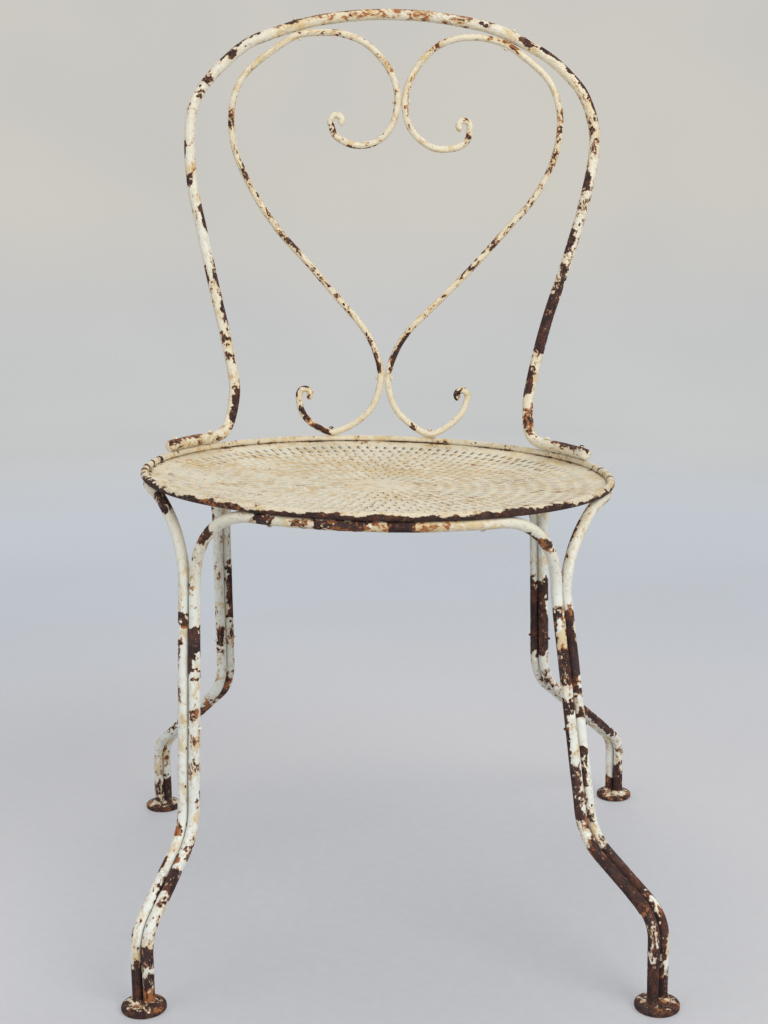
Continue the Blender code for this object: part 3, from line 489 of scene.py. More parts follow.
def waves(points, length, seed):
    """Smooth random unevenness at every point, of about the given wavelength and unit size."""
    draw = np.random.RandomState(seed)
    total = np.zeros(points.shape[:-1])
    for _ in range(9):
        way = draw.normal(size=3)
        way *= tau / length / np.linalg.norm(way) * draw.uniform(0.6, 1.5)
        total += np.sin(points @ way + draw.uniform(0, tau))
    return total / 3


def ramp(values, low, high):
    t = np.clip((values - low) / (high - low), 0, 1)
    return t * t * (3 - 2 * t)


def store(mesh, name, values):
    if np.ndim(values) == 0:
        values = np.full(len(mesh.vertices), values)
    kind = "FLOAT_VECTOR" if values.ndim == 2 else "FLOAT"
    field = "vector" if values.ndim == 2 else "value"
    made = mesh.attributes.new(name, kind, "POINT")
    made.data.foreach_set(field, values.astype(np.float32).ravel())


def added(name, data):
    made = bpy.data.objects.new(name, data)
    bpy.context.scene.collection.objects.link(made)
    return made


def smooth_object(name, points, faces, finish):
    mesh = bpy.data.meshes.new(name)
    mesh.from_pydata(points.tolist(), [], faces)
    mesh.validate()
    mesh.shade_smooth()
    mesh.materials.append(finish)
    return added(name, mesh)


def new_piece(node, points, faces, finish, traits):
    """A piece that stands for a CAD node. Its traits are read by its material at each vertex."""
    made = smooth_object(f"{node}_finish", points, faces, finish)
    for key in ("grain", "wear", "tone", "glow", "shade"):
        store(made.data, key, traits.get(key, 0.0))
    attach(made, "root")
    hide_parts(node)


def even_line(path, smoothing):
    """The path as evenly spaced points, a little relaxed, with closer ones at its ends for their rounding."""
    points = np.array([tuple(p) for p in path])
    reach = np.concatenate([[0], np.cumsum(np.linalg.norm(np.diff(points, axis=0), axis=1))])
    count = round(reach[-1] / BAR_STEP)
    at = np.linspace(0, reach[-1], count + 1)
    line = np.stack([np.interp(at, reach, points[:, k]) for k in range(3)], axis=1)
    for _ in range(smoothing):
        line[1:-1] = (line[:-2] + 2 * line[1:-1] + line[2:]) / 4
    near = np.array([0.12, 0.3, 0.55, 0.8]) * BAR_STEP
    every = np.sort(np.concatenate([at, near, reach[-1] - near]))
    return every, np.stack([np.interp(every, at, line[:, k]) for k in range(3)], axis=1)


def carried_frames(line):
    """Two directions across the line at each point, carried along it without twist."""
    tangents = np.gradient(line, axis=0)
    tangents /= np.linalg.norm(tangents, axis=1)[:, None]
    normal = np.cross(tangents[0], (0.3, 0.9, 0.2))
    normals = []
    for tangent in tangents:
        normal = normal - tangent * normal.dot(tangent)
        normal = normal / np.linalg.norm(normal)
        normals.append(normal)
    normals = np.array(normals)
    return normals, np.cross(tangents, normals)


def facing_way(facing):
    way = np.sum([FACING[word] for word in facing.split("-")], axis=0).astype(float)
    return way / np.linalg.norm(way)


def bar_piece(name, path, diameter, sides, smoothing, seed, style):
    """One bar, hammered a little uneven, with the wear that its style tells and painted shade beside near
    bars.
    """
    at, line = even_line(path, smoothing)
    normals, others = carried_frames(line)
    turns = np.linspace(0, tau, sides, endpoint=False)
    outward = normals[:, None] * np.cos(turns)[None, :, None] + others[:, None] * np.sin(turns)[None, :, None]
    radius = diameter / 2 - 0.12 * MM
    off_end = np.minimum(at, at[-1] - at)
    rounding = np.sqrt(1 - (1 - np.clip(off_end / (0.45 * radius), 0.02, 1)) ** 2)
    surface = line[:, None] + outward * radius
    uneven = waves(surface, 0.030, seed) * 0.07 * MM + waves(surface, 0.007, seed + 1) * 0.035 * MM
    lap = style.get("lap")
    if lap:
        place, facing, rise, fade = lap
        before = place - at[:, None] + waves(surface, 0.012, seed + 2) * 1.2 * MM
        swell = ramp(before, -0.4 * MM, 0.4 * MM) * (1 - ramp(before, 0, fade))
        uneven = uneven + rise * swell * ramp(outward @ facing_way(facing), -0.6, 0.8)
    points = line[:, None] + outward * (radius * rounding[:, None] + uneven * rounding[:, None])[..., None]
    count = len(at)
    rows = np.arange(count * sides).reshape(count, sides)
    beside = np.roll(rows, -1, axis=1)
    faces = np.stack([rows[:-1], beside[:-1], beside[1:], rows[1:]], axis=-1).reshape(-1, 4).tolist()
    first, last = count * sides, count * sides + 1
    faces += [[first, int(b), int(a)] for a, b in zip(rows[0], beside[0])]
    faces += [[last, int(a), int(b)] for a, b in zip(rows[-1], beside[-1])]
    points = np.concatenate([points.reshape(-1, 3), line[:1], line[-1:]])

    ragged = (waves(surface, 0.010, seed + 5) * 3.2 + waves(surface, 0.0042, seed + 6) * 2.0) * MM
    lean = 0.30 * waves(surface, 0.009, seed + 7) + 0.16 * waves(surface, 0.004, seed + 8)
    wear = style["wear"] + 0.06 * waves(surface, 0.09, seed + 3)
    glow = style["glow"] + 0.3 * waves(surface, 0.05, seed + 4)
    for start, end, bare, orange, *words in PATCHES.get(name, []):
        facing = words[0] if words else "front"
        soft = min(PATCH_EDGE, (end - start) * MM / 2)
        shape = at[:, None] + ragged * soft / PATCH_EDGE
        reach = ramp(shape, start * MM - soft, start * MM + soft)
        reach = reach * (1 - ramp(shape, end * MM - soft, end * MM + soft))
        if facing != "round":
            edge = cos(min(PATCH_SPREAD, 0.30 + 0.45 * (end - start) * MM / radius))
            faced = outward @ facing_way(facing) + lean * (1.3 - edge)
            reach = reach * ramp(faced, edge - 0.22, edge + 0.22)
        wear = wear * (1 - reach) + bare / 100 * reach
        glow = glow * (1 - reach) + orange / 100 * reach
    tone = np.broadcast_to(style["tone"](line)[:, None], (count, sides))
    along = at[:, None] * 0.62 + seed * 1.37
    grain = np.stack(np.broadcast_arrays(along, radius * np.cos(turns), radius * np.sin(turns)), axis=-1)
    # Painted shade: darker where the bar all but touches a neighbouring bar, in the crevice between them
    shade = closeness(points[:-2], style.get("near", [])).reshape(count, sides)
    traits = {"grain": grain, "wear": wear, "tone": tone, "glow": glow, "shade": shade}
    for key, values in traits.items():
        flat = values.reshape(count * sides, *values.shape[2:])
        traits[key] = np.concatenate([flat, flat[:1], flat[-1:]])
    new_piece(name, points, faces, style["finish"], traits)


def closeness(points, neighbours):
    """1 where a surface point all but touches a neighbouring bar, 0 where it is clear of them all."""
    found = np.zeros(len(points))
    for line, radius in neighbours:
        tree = KDTree(len(line))
        for i, place in enumerate(line):
            tree.insert(place, i)
        tree.balance()
        gap = np.array([tree.find(p)[2] for p in points]) - radius
        found = np.maximum(found, 1 - ramp(gap, 0.0, CREVICE_REACH))
    return found


def dish_level(radius):
    """Height of the sheet's upper face above the ring's centre, inside the rolled rim."""
    crease_radius = RING_RADIUS + ROLL_OUTER * cos(CREASE_ANGLE)
    crease_level = ROLL_OUTER * sin(CREASE_ANGLE)
    return crease_level - DISH_DEPTH * (1 - (radius / crease_radius) ** DISH_POWER)


def slot_rows():
    """For each row of slots: its radius, how many slots it has, and the angle of its first slot."""
    rows = []
    radius = FIRST_ROW
    while radius > LAST_ROW:
        count = round(tau * radius / SLOT_PITCH)
        rows.append((radius, count, pi / count * (len(rows) % 2)))
        radius -= ROW_PITCH
    return rows


def slot_outline(radius, turn, width, spread):
    """The outline of one slot, widened by spread: eight points, anticlockwise."""
    along = np.array([cos(turn), sin(turn)])
    across = np.array([-along[1], along[0]])
    half = SLOT_LENGTH / 2 + spread
    wide = width / 2 + spread
    right = [(-0.62, -1), (0.62, -1), (0.92, -0.6), (0.92, 0.6)]
    shape = right + [(-u, -v) for u, v in right]
    return [along * (radius + half * u) + across * wide * v for u, v in shape]


def seat_traits(points, turn, radius, rim):
    """Where the seat is worn: least in the dish, most along the lower edge of its rolled front."""
    wear = 0.430 + 0.04 * waves(points, 0.06, 71) + 0.03 * waves(points, 0.020, 74)
    stained = np.exp(-(((points[:, 1] - 0.075) / 0.060) ** 2) - (points[:, 0] / 0.15) ** 4)
    glow = 0.7 + 0.6 * waves(points, 0.05, 73) + 1.3 * stained
    bearing = np.degrees(turn) % 360
    front = ramp(bearing, 186, 204) * (1 - ramp(bearing, 332, 352))
    level = points[:, 2] + 1.2 * MM * waves(points, 0.028, 75) + 0.8 * MM * waves(points, 0.008, 76)
    outside = ramp(radius, 0.2085, 0.2105)
    band = outside * (1 - ramp(level, 0.6 * MM, 1.4 * MM))
    thick = np.exp(-(((bearing - 297) / 9) ** 2)) + np.exp(-(((bearing - 312) / 6) ** 2))
    band = np.maximum(band, outside * thick * (1 - ramp(level, 2.2 * MM, 3.0 * MM)) * 0.9)
    orange = np.exp(-(((bearing - 232) / 16) ** 2)) + 0.8 * np.exp(-(((bearing - 326) / 8) ** 2))
    wear = wear + rim * 0.03
    wear = wear * (1 - band * front) + 0.97 * band * front
    glow = glow * (1 - band * front) + (-0.4 + 1.1 * orange) * band * front
    elsewhere = outside * (1 - ramp(level, 0, 1.2 * MM)) * (1 - front)
    wear = wear + elsewhere * (0.16 + 0.10 * waves(points, 0.05, 77))
    back = np.exp(-(((bearing - 88) / 62) ** 2))
    reach = np.where(radius < CREVICE_RADIUS, 2.4 * MM, 1.6 * MM)
    crease = np.exp(-(((radius - CREVICE_RADIUS) / reach) ** 2)) * back
    crease = crease * (1 - ramp(points[:, 2], -1.5 * MM, -0.7 * MM))
    broken = np.clip(0.50 + 0.75 * waves(points, 0.040, 78), 0, 1)
    wear = wear + crease * (0.16 + 0.30 * broken)
    # Painted shade: darker along the crease at the back; the rest of the shade darkens the whole sheet, more
    # towards its right
    shade = 0.13 + 0.20 * points[:, 0] + 0.03 * waves(points, 0.08, 79) + 0.75 * crease * broken
    return wear, glow, shade


def sheet_plan(draw, turns, crease_radius):
    """The dish from above: its points, the edges that its faces keep, the points' marks, and the slots."""
    flat = [(crease_radius * cos(t), crease_radius * sin(t)) for t in turns]
    edges = [(i, (i + 1) % RIM_SIDES) for i in range(RIM_SIDES)]
    marks = [(0, 0, 0)] * RIM_SIDES
    slots = []
    for radius, count, first in slot_rows():
        for i in range(count):
            turn = first + tau * (i + draw.uniform(-0.06, 0.06)) / count
            row = radius + draw.uniform(-0.25, 0.25) * MM
            clear = row > 0.170 and sin(turn) > 0.3
            width = SLOT_WIDTH * (1 if clear else draw.uniform(0.45, 0.75))
            slots.append((row, turn, width))
            for spread, slot_marks in ((0, SLOT_EDGE), (LIP_WIDTH, SLOT_SURROUND)):
                start = len(flat)
                flat += [tuple(p) for p in slot_outline(row, turn, width, spread)]
                edges += [(start + j, start + (j + 1) % 8) for j in range(8)]
                marks += slot_marks
    blocked = KDTree(len(slots) * 3)
    for i, (row, turn, _) in enumerate(slots):
        for k, shift in enumerate((-0.3, 0, 0.3)):
            reach = row + shift * SLOT_LENGTH
            blocked.insert((reach * cos(turn), reach * sin(turn), 0), i * 3 + k)
    blocked.balance()
    fill = [(0.0, 0.0)]
    radius = SHEET_GRID
    while radius < crease_radius - 1.5 * MM:
        count = round(tau * radius / SHEET_GRID)
        steps = [tau * i / count for i in range(count)]
        fill += [(radius * cos(t), radius * sin(t)) for t in steps]
        radius += SHEET_GRID if radius < 0.190 else SHEET_GRID / 2
    fill = [place for place in fill if blocked.find((*place, 0))[2] > 3.0 * MM]
    return flat + fill, edges, marks + [(0, 0, 0)] * len(fill), slots


def seat_piece(finish):
    """The dished sheet with its slots and its rolled, pleated rim, as one closed sheet."""
    draw = np.random.RandomState(5)
    turns = np.linspace(0, tau, RIM_SIDES, endpoint=False)
    crease_radius = RING_RADIUS + ROLL_OUTER * cos(CREASE_ANGLE)
    flat, edges, marks, slots = sheet_plan(draw, turns, crease_radius)
    points, _, faces, origins, _, _ = delaunay_2d_cdt([Vector(p) for p in flat], edges, [], 0, 1e-9)
    lift, at_slot, pale = np.array(marks, float)[[found[0] for found in origins]].T
    places = np.array([tuple(p) for p in points])
    holes = KDTree(len(slots))
    for i, (row, turn, _) in enumerate(slots):
        holes.insert((row * cos(turn), row * sin(turn), 0), i)
    holes.balance()

    def is_hole(face):
        middle = places[list(face)].mean(axis=0)
        _, found, distance = holes.find((*middle, 0))
        if distance > SLOT_LENGTH / 2:
            return False
        row, turn, width = slots[found]
        along = middle @ (cos(turn), sin(turn)) - row
        across = middle @ (-sin(turn), cos(turn))
        return abs(across) < width * 0.5 and abs(along) < SLOT_LENGTH * 0.46

    faces = [list(face) for face in faces if not is_hole(face)]
    reach = np.linalg.norm(places, axis=1)
    level = dish_level(reach) + lift
    count = len(places)
    top = np.column_stack([places, level])
    bottom = np.column_stack([places, level - SHEET])
    all_faces = faces + [[i + count for i in face[::-1]] for face in faces]
    used = {edge for face in faces for edge in zip(face, (*face[1:], face[0]))}
    walls = [(a, b) for a, b in used if (b, a) not in used and max(a, b) >= RIM_SIDES]
    all_faces += [[b, a, a + count, b + count] for a, b in sorted(walls)]

    pleats = pleat_marks(draw)
    roll = np.linspace(CREASE_ANGLE, ROLL_END_ANGLE, ROLL_STEPS + 1)
    skins = [(ROLL_OUTER - pleat_depth(turns, t, pleats, 1.5 * MM) * 0.60 * MM, t) for t in roll[1:]]
    skins += [(ROLL_INNER, t) for t in roll[::-3]]
    circles = [(RING_RADIUS + skin * cos(t), skin * sin(t)) for skin, t in skins]
    heel_level = dish_level(crease_radius) - SHEET * sin(HEEL_ANGLE)
    circles.append((crease_radius + SHEET * cos(HEEL_ANGLE), heel_level))
    rings = [range(RIM_SIDES)]
    ring_points = []
    for radius, height in circles:
        start = 2 * count + len(ring_points) * RIM_SIDES
        rings.append(range(start, start + RIM_SIDES))
        circle = np.broadcast_arrays(radius * np.cos(turns), radius * np.sin(turns), height)
        ring_points.append(np.column_stack(circle))
    rings.append(range(count, count + RIM_SIDES))
    for near, far in zip(rings, rings[1:]):
        for i in range(RIM_SIDES):
            j = (i + 1) % RIM_SIDES
            all_faces.append([near[i], near[j], far[j], far[i]])
    whole = np.concatenate([top, bottom, *ring_points])
    radius = np.linalg.norm(whole[:, :2], axis=1)
    turn = np.arctan2(whole[:, 1], whole[:, 0])
    rim = ramp(radius, 0.198, 0.206)
    wear, glow, shade = seat_traits(whole, turn, radius, rim)
    section = np.arctan2(whole[:, 2], radius - RING_RADIUS)
    folds = pleat_depth(turn, section, pleats, 3.0 * MM) * ramp(radius, 0.2035, 0.2075)
    wear = wear + folds * 0.62
    glow = glow - folds * 1.6
    grain = whole + (11.0, 0, 0)
    # Painted shade: the slots' edges and walls are darkened, most in the open rows at the back, and the
    # underside is darkened all over
    open_row = 0.22 + 0.78 * ramp(reach, 0.166, 0.174) * ramp(places[:, 1], 0.05, 0.12)
    shade[:count] += at_slot * 0.40 * (0.4 + 0.6 * open_row)
    shade[count:2 * count] = 0.2 + 0.8 * at_slot * open_row
    wear[count:2 * count] += 0.16
    tone = np.zeros(len(whole))
    # Painted highlight: the paleness beside each slot's raised lip
    tone[:count] = pale
    used_points = np.zeros(len(whole), bool)
    used_points[[i for face in all_faces for i in face]] = True
    renumber = np.cumsum(used_points) - 1
    all_faces = [[int(renumber[i]) for i in face] for face in all_faces]
    placed = np.array([tuple(SEAT @ Vector(p)) for p in whole[used_points]])
    shade = np.clip(shade, 0, 1)
    traits = {"grain": grain, "wear": wear, "tone": tone, "glow": glow, "shade": shade}
    traits = {key: values[used_points] for key, values in traits.items()}
    new_piece("seat_pan", placed, all_faces, finish, traits)


def pleat_marks(draw):
    """Angle and depth of each pleat that the rolling left in the rim."""
    marks = []
    for i in range(PLEATS):
        turn = tau * (i + draw.uniform(-0.3, 0.3)) / PLEATS
        left = degrees(turn) % 360
        strength = 1.0 if 165 < left < 208 else 0.55 if left < 14 or left > 346 else 0.0
        marks.append((turn, max(strength * draw.uniform(0.75, 1), draw.uniform(0, 0.3))))
    return marks


def pleat_depth(turn, section, marks, width):
    """How deep the pleats are at this angle round the rim and round its rolled section, from 0 to 1."""
    turn, section = np.broadcast_arrays(turn, section)
    total = np.zeros(turn.shape)
    section = (section + 2.3) % tau - 2.3
    upper = ramp(section, -0.9, -0.2)
    for place, depth in marks:
        off = (turn - place - 0.010 * section + pi) % tau - pi
        total = np.maximum(total, depth * np.exp(-((off * RING_RADIUS / width) ** 2)))
    return total * upper


def revolved(profile, sides):
    """Points and faces of a solid turned about Z, from its (radius, height) points, axis to axis."""
    turns = np.linspace(0, tau, sides, endpoint=False)
    points = [(0, 0, profile[0][1])]
    for radius, height in profile[1:-1]:
        points += [(radius * cos(t), radius * sin(t), height) for t in turns]
    points.append((0, 0, profile[-1][1]))
    rows = [[1 + k * sides + i for i in range(sides)] for k in range(len(profile) - 2)]
    faces = [[0, rows[0][(i + 1) % sides], rows[0][i]] for i in range(sides)]
    for low, high in zip(rows, rows[1:]):
        faces += [[low[i], low[(i + 1) % sides], high[(i + 1) % sides], high[i]] for i in range(sides)]
    last = len(points) - 1
    faces += [[last, rows[-1][i], rows[-1][(i + 1) % sides]] for i in range(sides)]
    return np.array(points, float), faces


def foot_piece(leg, seed, finish):
    """A round pad, rusted uneven, with its weld swelling round the two bars."""
    low_edge = []
    for t in np.linspace(0, pi / 2, 6):
        low_edge.append((FOOT_RADIUS - 2.0 * MM * (1 - sin(t)), 2.2 * MM * (1 - cos(t))))
    high_edge = []
    for t in np.linspace(0, pi / 2, 7):
        high_edge.append((FOOT_RADIUS - 2.6 * MM * (1 - cos(t)), 3.4 * MM + 2.2 * MM * sin(t)))
    crown_rise = (FOOT_THICKNESS - 5.6 * MM) * 1.15
    crown = [(FOOT_RADIUS * s, 5.6 * MM + crown_rise * (1 - s**2)) for s in np.linspace(0.82, 0.05, 18)]
    base = [(FOOT_RADIUS * s, 0) for s in (0.2, 0.4, 0.6, 0.78)]
    points, faces = revolved([(0, 0), *base, *low_edge, *high_edge, *crown, (0, FOOT_THICKNESS)], FOOT_SIDES)
    _, _, side = leg_frame(leg)
    foot = Vector((*LEGS[leg][1], 0)) - MIDDLE
    side = np.array([side.x, side.y])
    gaps = [np.linalg.norm(points[:, :2] - side * PAIR_OFFSET * sign, axis=1) for sign in (-1, 1)]
    gap = np.min(gaps, axis=0)
    weld = 1.6 * MM * np.exp(-((np.maximum(gap - LEG_BAR / 2, 0) / (2.0 * MM)) ** 2))
    upper = ramp(points[:, 2], 4.5 * MM, 6.5 * MM)
    lumps = waves(points, 0.012, seed) * 0.28 * MM + waves(points, 0.004, seed + 1) * 0.10 * MM
    points[:, 2] += upper * (weld + lumps)
    shrink = 1 - np.abs(waves(points, 0.02, seed + 2)) * 0.010 * ramp(points[:, 2], 0.5 * MM, 2 * MM)
    points[:, :2] *= shrink[:, None]
    grain = points + (seed * 0.61, 0, 0)
    wear = 0.95 - 0.22 * upper + 0.07 * waves(points, 0.014, seed + 3)
    glow = 0.25 + 0.4 * waves(points, 0.014, seed + 4)
    traits = {"grain": grain, "wear": wear, "tone": 0.4, "glow": glow}
    new_piece(f"{leg}_foot", points + np.array(foot), faces, finish, traits)


def rivet_piece(node, seed, finish):
    """A rivet with smooth domes, from the line and the width of its CAD solid."""
    solid = np.array([tuple(v.co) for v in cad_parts[node].data.vertices])
    middle = solid.mean(axis=0)
    way = np.linalg.svd(solid - middle)[2][0]
    along = (solid - middle) @ way
    off = np.linalg.norm(solid - middle - along[:, None] * way, axis=1)
    head = off.max()
    shank = np.median(off[off > 0.3 * MM])
    low_head = off[along < along.min() + 2 * MM].max() > 0.9 * head
    high_head = off[along > along.max() - 2 * MM].max() > 0.9 * head
    shank = min(shank, head / 2.2)
    rise = head * 0.76
    dome = [(head * cos(t), rise * sin(t)) for t in np.linspace(0, pi / 2, 9)[:-1]]
    profile = [(0, along.min())]
    if low_head:
        profile += [(r, along.min() + rise - z) for r, z in reversed(dome)]
    profile.append((shank, along.min() + rise * low_head))
    profile.append((shank, along.max() - rise * high_head))
    if high_head:
        profile += [(r, along.max() - rise + z) for r, z in dome]
    profile.append((0, along.max()))
    points, faces = revolved(profile, RIVET_SIDES)
    turn = Vector(way).to_track_quat("Z", "Y").to_matrix()
    points = points @ np.array(turn).T + middle
    worn = next((amount for part, amount in RIVET_WEAR.items() if part in node), 0.50)
    traits = {"grain": points + (seed * 0.31, 0, 0), "wear": worn + 0.06 * waves(points, 0.004, seed)}
    traits |= {"tone": 0.9 if "leg" in node else 0.3, "glow": 0.2}
    new_piece(node, points, faces, finish, traits)


# Materials


class Shader:
    """A material's node tree, built from its outputs."""

    def __init__(self, name):
        self.material = bpy.data.materials.new(name)
        self.material.use_nodes = True
        self.tree = self.material.node_tree
        self.surface = self.tree.nodes["Principled BSDF"]

    def node(self, kind, inputs=None, **settings):
        made = self.tree.nodes.new("ShaderNode" + kind)
        for key, value in settings.items():
            setattr(made, key, value)
        for key, value in (inputs or {}).items():
            self.plug(made, key, value)
        return made

    def plug(self, made, key, value):
        if isinstance(value, bpy.types.NodeSocket):
            self.tree.links.new(value, made.inputs[key])
        else:
            made.inputs[key].default_value = value

    def math(self, operation, first, second=0.0):
        return self.node("Math", {0: first, 1: second}, operation=operation).outputs[0]

    def plus(self, first, second):
        return self.math("ADD", first, second)

    def minus(self, first, second):
        return self.math("SUBTRACT", first, second)

    def times(self, first, second):
        return self.math("MULTIPLY", first, second)

    def trait(self, name, vector=False):
        made = self.node("Attribute", attribute_name=name)
        return made.outputs["Vector" if vector else "Fac"]

    def shifted(self, vector, offset, stretch=(1, 1, 1)):
        return self.node("Mapping", {"Vector": vector, "Location": offset, "Scale": stretch}).outputs[0]

    def noise(self, vector, scale, detail=3.0, roughness=0.55, distortion=0.0):
        inputs = {"Vector": vector, "Scale": scale, "Detail": detail, "Roughness": roughness}
        inputs["Distortion"] = distortion
        return self.node("TexNoise", inputs).outputs["Fac"]

    def step(self, value, low, high, top=1.0):
        inputs = {"Value": value, "From Min": low, "From Max": high, "To Min": 0.0, "To Max": top}
        return self.node("MapRange", inputs, interpolation_type="SMOOTHSTEP").outputs[0]

    def mix(self, factor, first, second):
        made = self.node("Mix", {0: factor, 6: first, 7: second}, data_type="RGBA")
        return made.outputs[2]


def weathered(name):
    """Old paint over rust: chips and dots where a piece is worn, with stains round them, and painted shade
    from the shade trait.
    """
    s = Shader(name)
    grain = s.trait("grain", vector=True)

    def cloud(offset, *settings):
        return s.noise(s.shifted(grain, offset), *settings)

    wear, tone, glow, shade = (s.trait(key) for key in ("wear", "tone", "glow", "shade"))

    broad = s.noise(grain, 34, 2)
    chips = cloud((3.1, 0, 0), 160, 8, 0.68, 0.5)
    fine = cloud((5.7, 0, 0), 640, 4, 0.6)
    field = s.plus(chips, s.times(s.minus(broad, 0.5), 0.40))
    field = s.plus(field, s.times(s.minus(fine, 0.5), 0.30))
    limit = s.minus(1.0, s.times(wear, 0.72))
    excess = s.minus(field, limit)
    chip = s.step(excess, -0.004, 0.007)

    cells = s.node("TexVoronoi", {"Vector": s.shifted(grain, (1.3, 0, 0)), "Scale": 240.0})
    pick = s.node("SeparateColor", {0: cells.outputs["Color"]}).outputs[0]
    size = s.step(s.plus(pick, s.times(wear, 0.6)), 1.02, 1.36, 0.36)
    dots = s.step(s.minus(size, cells.outputs["Distance"]), 0.02, 0.06)
    flecks = s.step(cloud((9.2, 0, 0), 340, 5, 0.75), 0.60, 0.62)
    flecks = s.times(flecks, s.step(excess, 0.26, 0.10))
    kept = s.minus(1.0, flecks)
    bare = s.times(s.math("MAXIMUM", chip, dots), kept)

    mottle = cloud((7.7, 0, 0), 55, 5, 0.6)
    cream = s.mix(mottle, (0.86, 0.79, 0.62, 1), (0.70, 0.60, 0.41, 1))
    white = s.mix(mottle, (0.84, 0.86, 0.81, 1), (0.73, 0.76, 0.70, 1))
    paint = s.mix(tone, cream, white)
    ochre = cloud((2.4, 4, 0), 95, 5, 0.65)
    ochre = s.step(s.plus(ochre, s.times(glow, 0.08)), 0.57, 0.70, 0.66)
    paint = s.mix(ochre, paint, (0.66, 0.46, 0.17, 1))
    dirt = s.step(cloud((6.4, 2, 0), 260, 4, 0.7), 0.52, 0.74, 0.50)
    paint = s.mix(dirt, paint, (0.33, 0.31, 0.22, 1))
    paint = s.mix(s.step(excess, -0.15, -0.01, 0.50), paint, (0.60, 0.36, 0.12, 1))
    paint = s.mix(s.step(excess, -0.035, -0.004, 0.75), paint, (0.36, 0.13, 0.035, 1))
    cracks = s.node("TexVoronoi", {"Vector": s.shifted(grain, (0.7, 6, 0), (1.8, 1, 1)), "Scale": 210.0},
                    feature="DISTANCE_TO_EDGE").outputs["Distance"]
    crazed = s.step(cloud((5.2, 1, 0), 60, 3), 0.54, 0.64, 0.4)
    crazed = s.times(crazed, s.step(cracks, 0.035, 0.010))
    paint = s.mix(crazed, paint, (0.10, 0.09, 0.06, 1))

    scale = cloud((8.8, 1, 0), 150, 7, 0.7)
    rust = s.mix(s.step(scale, 0.44, 0.66), (0.027, 0.014, 0.014, 1), (0.120, 0.040, 0.022, 1))
    rust = s.mix(s.step(mottle, 0.50, 0.66, 0.5), rust, (0.060, 0.040, 0.042, 1))
    bloom = cloud((4.9, 3, 0), 150, 7, 0.72)
    bloom = s.step(s.plus(bloom, s.times(glow, 0.17)), 0.60, 0.70)
    rust = s.mix(s.times(bloom, 0.85), rust, (0.46, 0.16, 0.045, 1))
    rust = s.mix(s.step(fine, 0.60, 0.74, 0.55), rust, (0.33, 0.19, 0.12, 1))

    colour = s.mix(bare, paint, rust)
    # Painted shade: the shade trait darkens the colour towards near-black
    colour = s.mix(s.times(shade, 0.85), colour, (0.030, 0.018, 0.012, 1))
    s.plug(s.surface, "Base Color", colour)
    gloss = s.times(s.minus(1.0, bare), -0.34)
    gloss = s.plus(gloss, s.times(fine, 0.16))
    s.plug(s.surface, "Roughness", s.plus(gloss, 0.80))
    s.surface.inputs["Specular IOR Level"].default_value = 0.42

    height = s.times(s.minus(1.0, bare), 0.30)
    crust = cloud((1.9, 5, 0), 900, 5, 0.7)
    height = s.plus(height, s.times(s.times(crust, bare), 0.42))
    height = s.plus(height, s.times(mottle, 0.20))
    height = s.plus(height, s.times(fine, 0.06))
    bump = s.node("Bump", {"Height": height, "Distance": MM, "Strength": 1.0})
    s.plug(s.surface, "Normal", bump.outputs["Normal"])
    return s.material


def backdrop_paint():
    """Pale grey cloth, warmer up the wall and cooler on the floor, with a painted shadow under the chair. Its
    far part is seen at its own tone.
    """
    s = Shader("backdrop")
    place = s.node("TexCoord").outputs["Object"]
    height = s.node("SeparateXYZ", {0: place}).outputs["Z"]
    away = s.node("VectorMath", {0: place, 1: (1, 1, 0)}, operation="MULTIPLY").outputs[0]
    away = s.node("VectorMath", {0: away}, operation="LENGTH").outputs["Value"]
    # Painted shadow: the floor is darker out to about 0.4 m from the middle, under the chair
    tint = s.mix(s.step(away, 0.16, 0.44), (0.520, 0.530, 0.565, 1), (0.600, 0.602, 0.630, 1))
    tint = s.mix(s.step(away, 0.5, 1.3), tint, (0.545, 0.582, 0.632, 1))
    tint = s.mix(s.step(away, 1.7, 3.1), tint, (0.575, 0.580, 0.578, 1))
    tint = s.mix(s.step(height, 0.15, 0.70), tint, (0.615, 0.592, 0.540, 1))
    cloud = s.noise(place, 0.9, 2)
    tint = s.mix(s.step(cloud, 0.35, 0.70, 0.30), tint, (0.480, 0.490, 0.510, 1))
    threads = s.noise(s.shifted(place, (0, 0, 0), (1, 1, 5)), 90, 3, 0.6)
    tint = s.mix(s.step(threads, 0.35, 0.75, 0.10), tint, (0.70, 0.71, 0.73, 1))
    s.plug(s.surface, "Base Color", tint)
    s.surface.inputs["Roughness"].default_value = 0.9
    bump = s.node("Bump", {"Height": threads, "Distance": 0.4 * MM, "Strength": 0.5})
    s.plug(s.surface, "Normal", bump.outputs["Normal"])
    rays = s.node("LightPath").outputs
    seen = s.math("MAXIMUM", rays["Is Camera Ray"], rays["Is Glossy Ray"])
    seen = s.math("MAXIMUM", seen, rays["Is Transmission Ray"])
    plain = s.node("Emission", {"Color": tint})
    share = s.plus(0.45, s.step(away, 0.6, 2.0, 0.55))
    both = {0: s.times(seen, share), 1: s.surface.outputs[0], 2: plain.outputs[0]}
    mixed = s.node("MixShader", both)
    output = next(node for node in s.tree.nodes if node.type == "OUTPUT_MATERIAL")
    s.plug(output, "Surface", mixed.outputs[0])
    return s.material


# Stage, light and camera


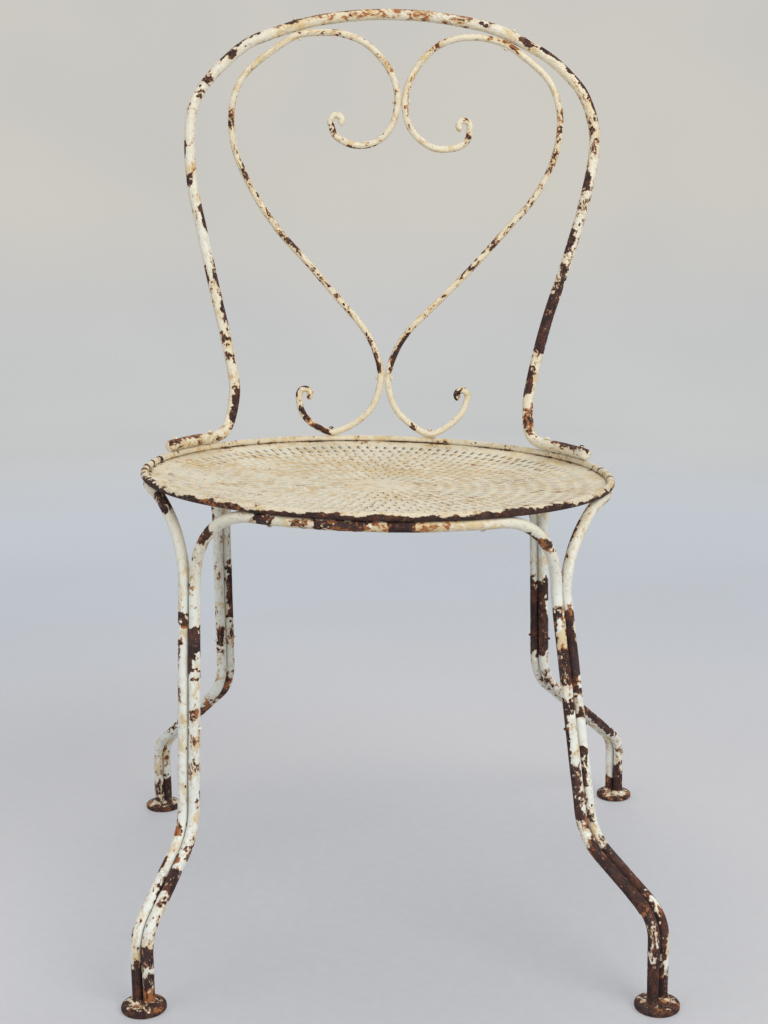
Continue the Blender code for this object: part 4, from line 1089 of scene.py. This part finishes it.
def make_backdrop():
    """A round floor that curves up into a wall, far enough out to look the same from every side."""
    bend = [(3.2 + 1.2 * sin(t), 1.2 - 1.2 * cos(t)) for t in np.linspace(0, pi / 2, 16)]
    profile = [(r, 0) for r in (0.3, 0.8, 1.6, 2.4)] + bend + [(4.4, 2.4), (4.4, 3.6)]
    points, faces = revolved([(0, 0), *profile, (0, 3.6)], BACKDROP_SIDES)
    open_faces = [face[::-1] for face in faces[:-BACKDROP_SIDES]]
    smooth_object("backdrop", points[:-1], open_faces, backdrop_paint())


def make_light(name, place, aim, size, power, colour):
    light = bpy.data.lights.new(name, "AREA")
    light.shape = "DISK"
    light.size = size
    light.energy = power
    light.color = colour
    made = added(name, light)
    made.location = place
    made.rotation_euler = (Vector(aim) - Vector(place)).to_track_quat("-Z", "Y").to_euler()


def make_lights():
    make_light("key", (1.8, -2.3, 2.4), (0, 0, 0.4), 2.4, 80, (1.0, 0.985, 0.96))
    make_light("fill", (-2.4, -1.6, 1.9), (0, 0, 0.4), 2.6, 28, (0.95, 0.97, 1.0))
    make_light("rear", (0.4, 2.6, 2.6), (0, 0, 0.5), 2.4, 24, (1.0, 0.98, 0.95))
    world = bpy.data.worlds.new("studio")
    world.use_nodes = True
    background = world.node_tree.nodes["Background"]
    background.inputs["Color"].default_value = (0.94, 0.96, 1.0, 1)
    background.inputs["Strength"].default_value = 0.55
    bpy.context.scene.world = world


def make_camera():
    """The photograph's viewpoint, found by fitting the seat's rim, the feet and the bars."""
    pitch, roll = -0.19107, -0.01147
    forward = Vector((0, cos(pitch), sin(pitch)))
    right = Vector((1, 0, 0))
    up = right.cross(forward)
    across = right * cos(roll) + up * sin(roll)
    above = up * cos(roll) - right * sin(roll)
    data = bpy.data.cameras.new("camera")
    data.sensor_fit = "VERTICAL"
    data.sensor_height = 36
    data.lens = 56.25
    made = added("camera", data)
    turn = Matrix((across, above, -forward)).transposed().to_4x4()
    made.matrix_world = Matrix.Translation((-0.00265, -1.44917, 0.65106)) @ turn
    bpy.context.scene.camera = made


# The chair


def cream_tone(line):
    """Cream, paler in places."""
    return np.clip(0.28 + 0.22 * waves(line, 0.16, 61), 0, 0.8)


def scroll_tone(line):
    """Yellower than the hoop."""
    return np.clip(0.08 + 0.10 * waves(line, 0.16, 62), 0, 0.5)


def leg_tone(line):
    """White low down, creamier under the rim."""
    return 0.95 - 0.55 * ramp(line[:, 2], 0.30, 0.40)


def make_chair():
    cream = weathered("cream_paint_worn")
    white = weathered("white_paint_worn")
    rusted = weathered("rusted_iron_worn")
    bow_lines = {name: even_line(bow_path(*legs), 10)[1] for name, legs in BOWS.items()}
    for i, (name, legs) in enumerate(BOWS.items()):
        near = [(line, LEG_BAR / 2) for other, line in bow_lines.items() if other != name]
        style = {"wear": 0.470, "glow": 0.6, "tone": leg_tone, "finish": white, "slot": "white_paint"}
        style["near"] = near
        if name == "front_leg_bow":
            style["lap"] = LAP
        bar_piece(name, bow_path(*legs), LEG_BAR, LEG_SIDES, 10, 100 + 10 * i, style)
    style = {"wear": 0.50, "glow": 0.6, "tone": cream_tone, "finish": cream, "slot": "cream_paint"}
    bar_piece("back_hoop", hoop_path(), HOOP_BAR, HOOP_SIDES, 10, 150, style)
    style = {**style, "wear": 0.475, "glow": 1.0, "tone": scroll_tone}
    for i, (side, sign) in enumerate((("left", -1), ("right", 1))):
        name = f"{side}_scroll"
        bar_piece(name, scroll_path(sign), SCROLL_BAR, SCROLL_SIDES, 4, 160 + 10 * i, style)
    seat_piece(cream)
    for i, leg in enumerate(LEGS):
        foot_piece(leg, 200 + 10 * i, rusted)
    for i, node in enumerate(sorted(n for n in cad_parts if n.endswith("_rivet"))):
        rivet_piece(node, 300 + i, rusted)
    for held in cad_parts["seat_ring"].material_slots:
        held.material = rusted


make_chair()
make_backdrop()
make_lights()
make_camera()
bpy.context.scene.view_settings.view_transform = "Standard"
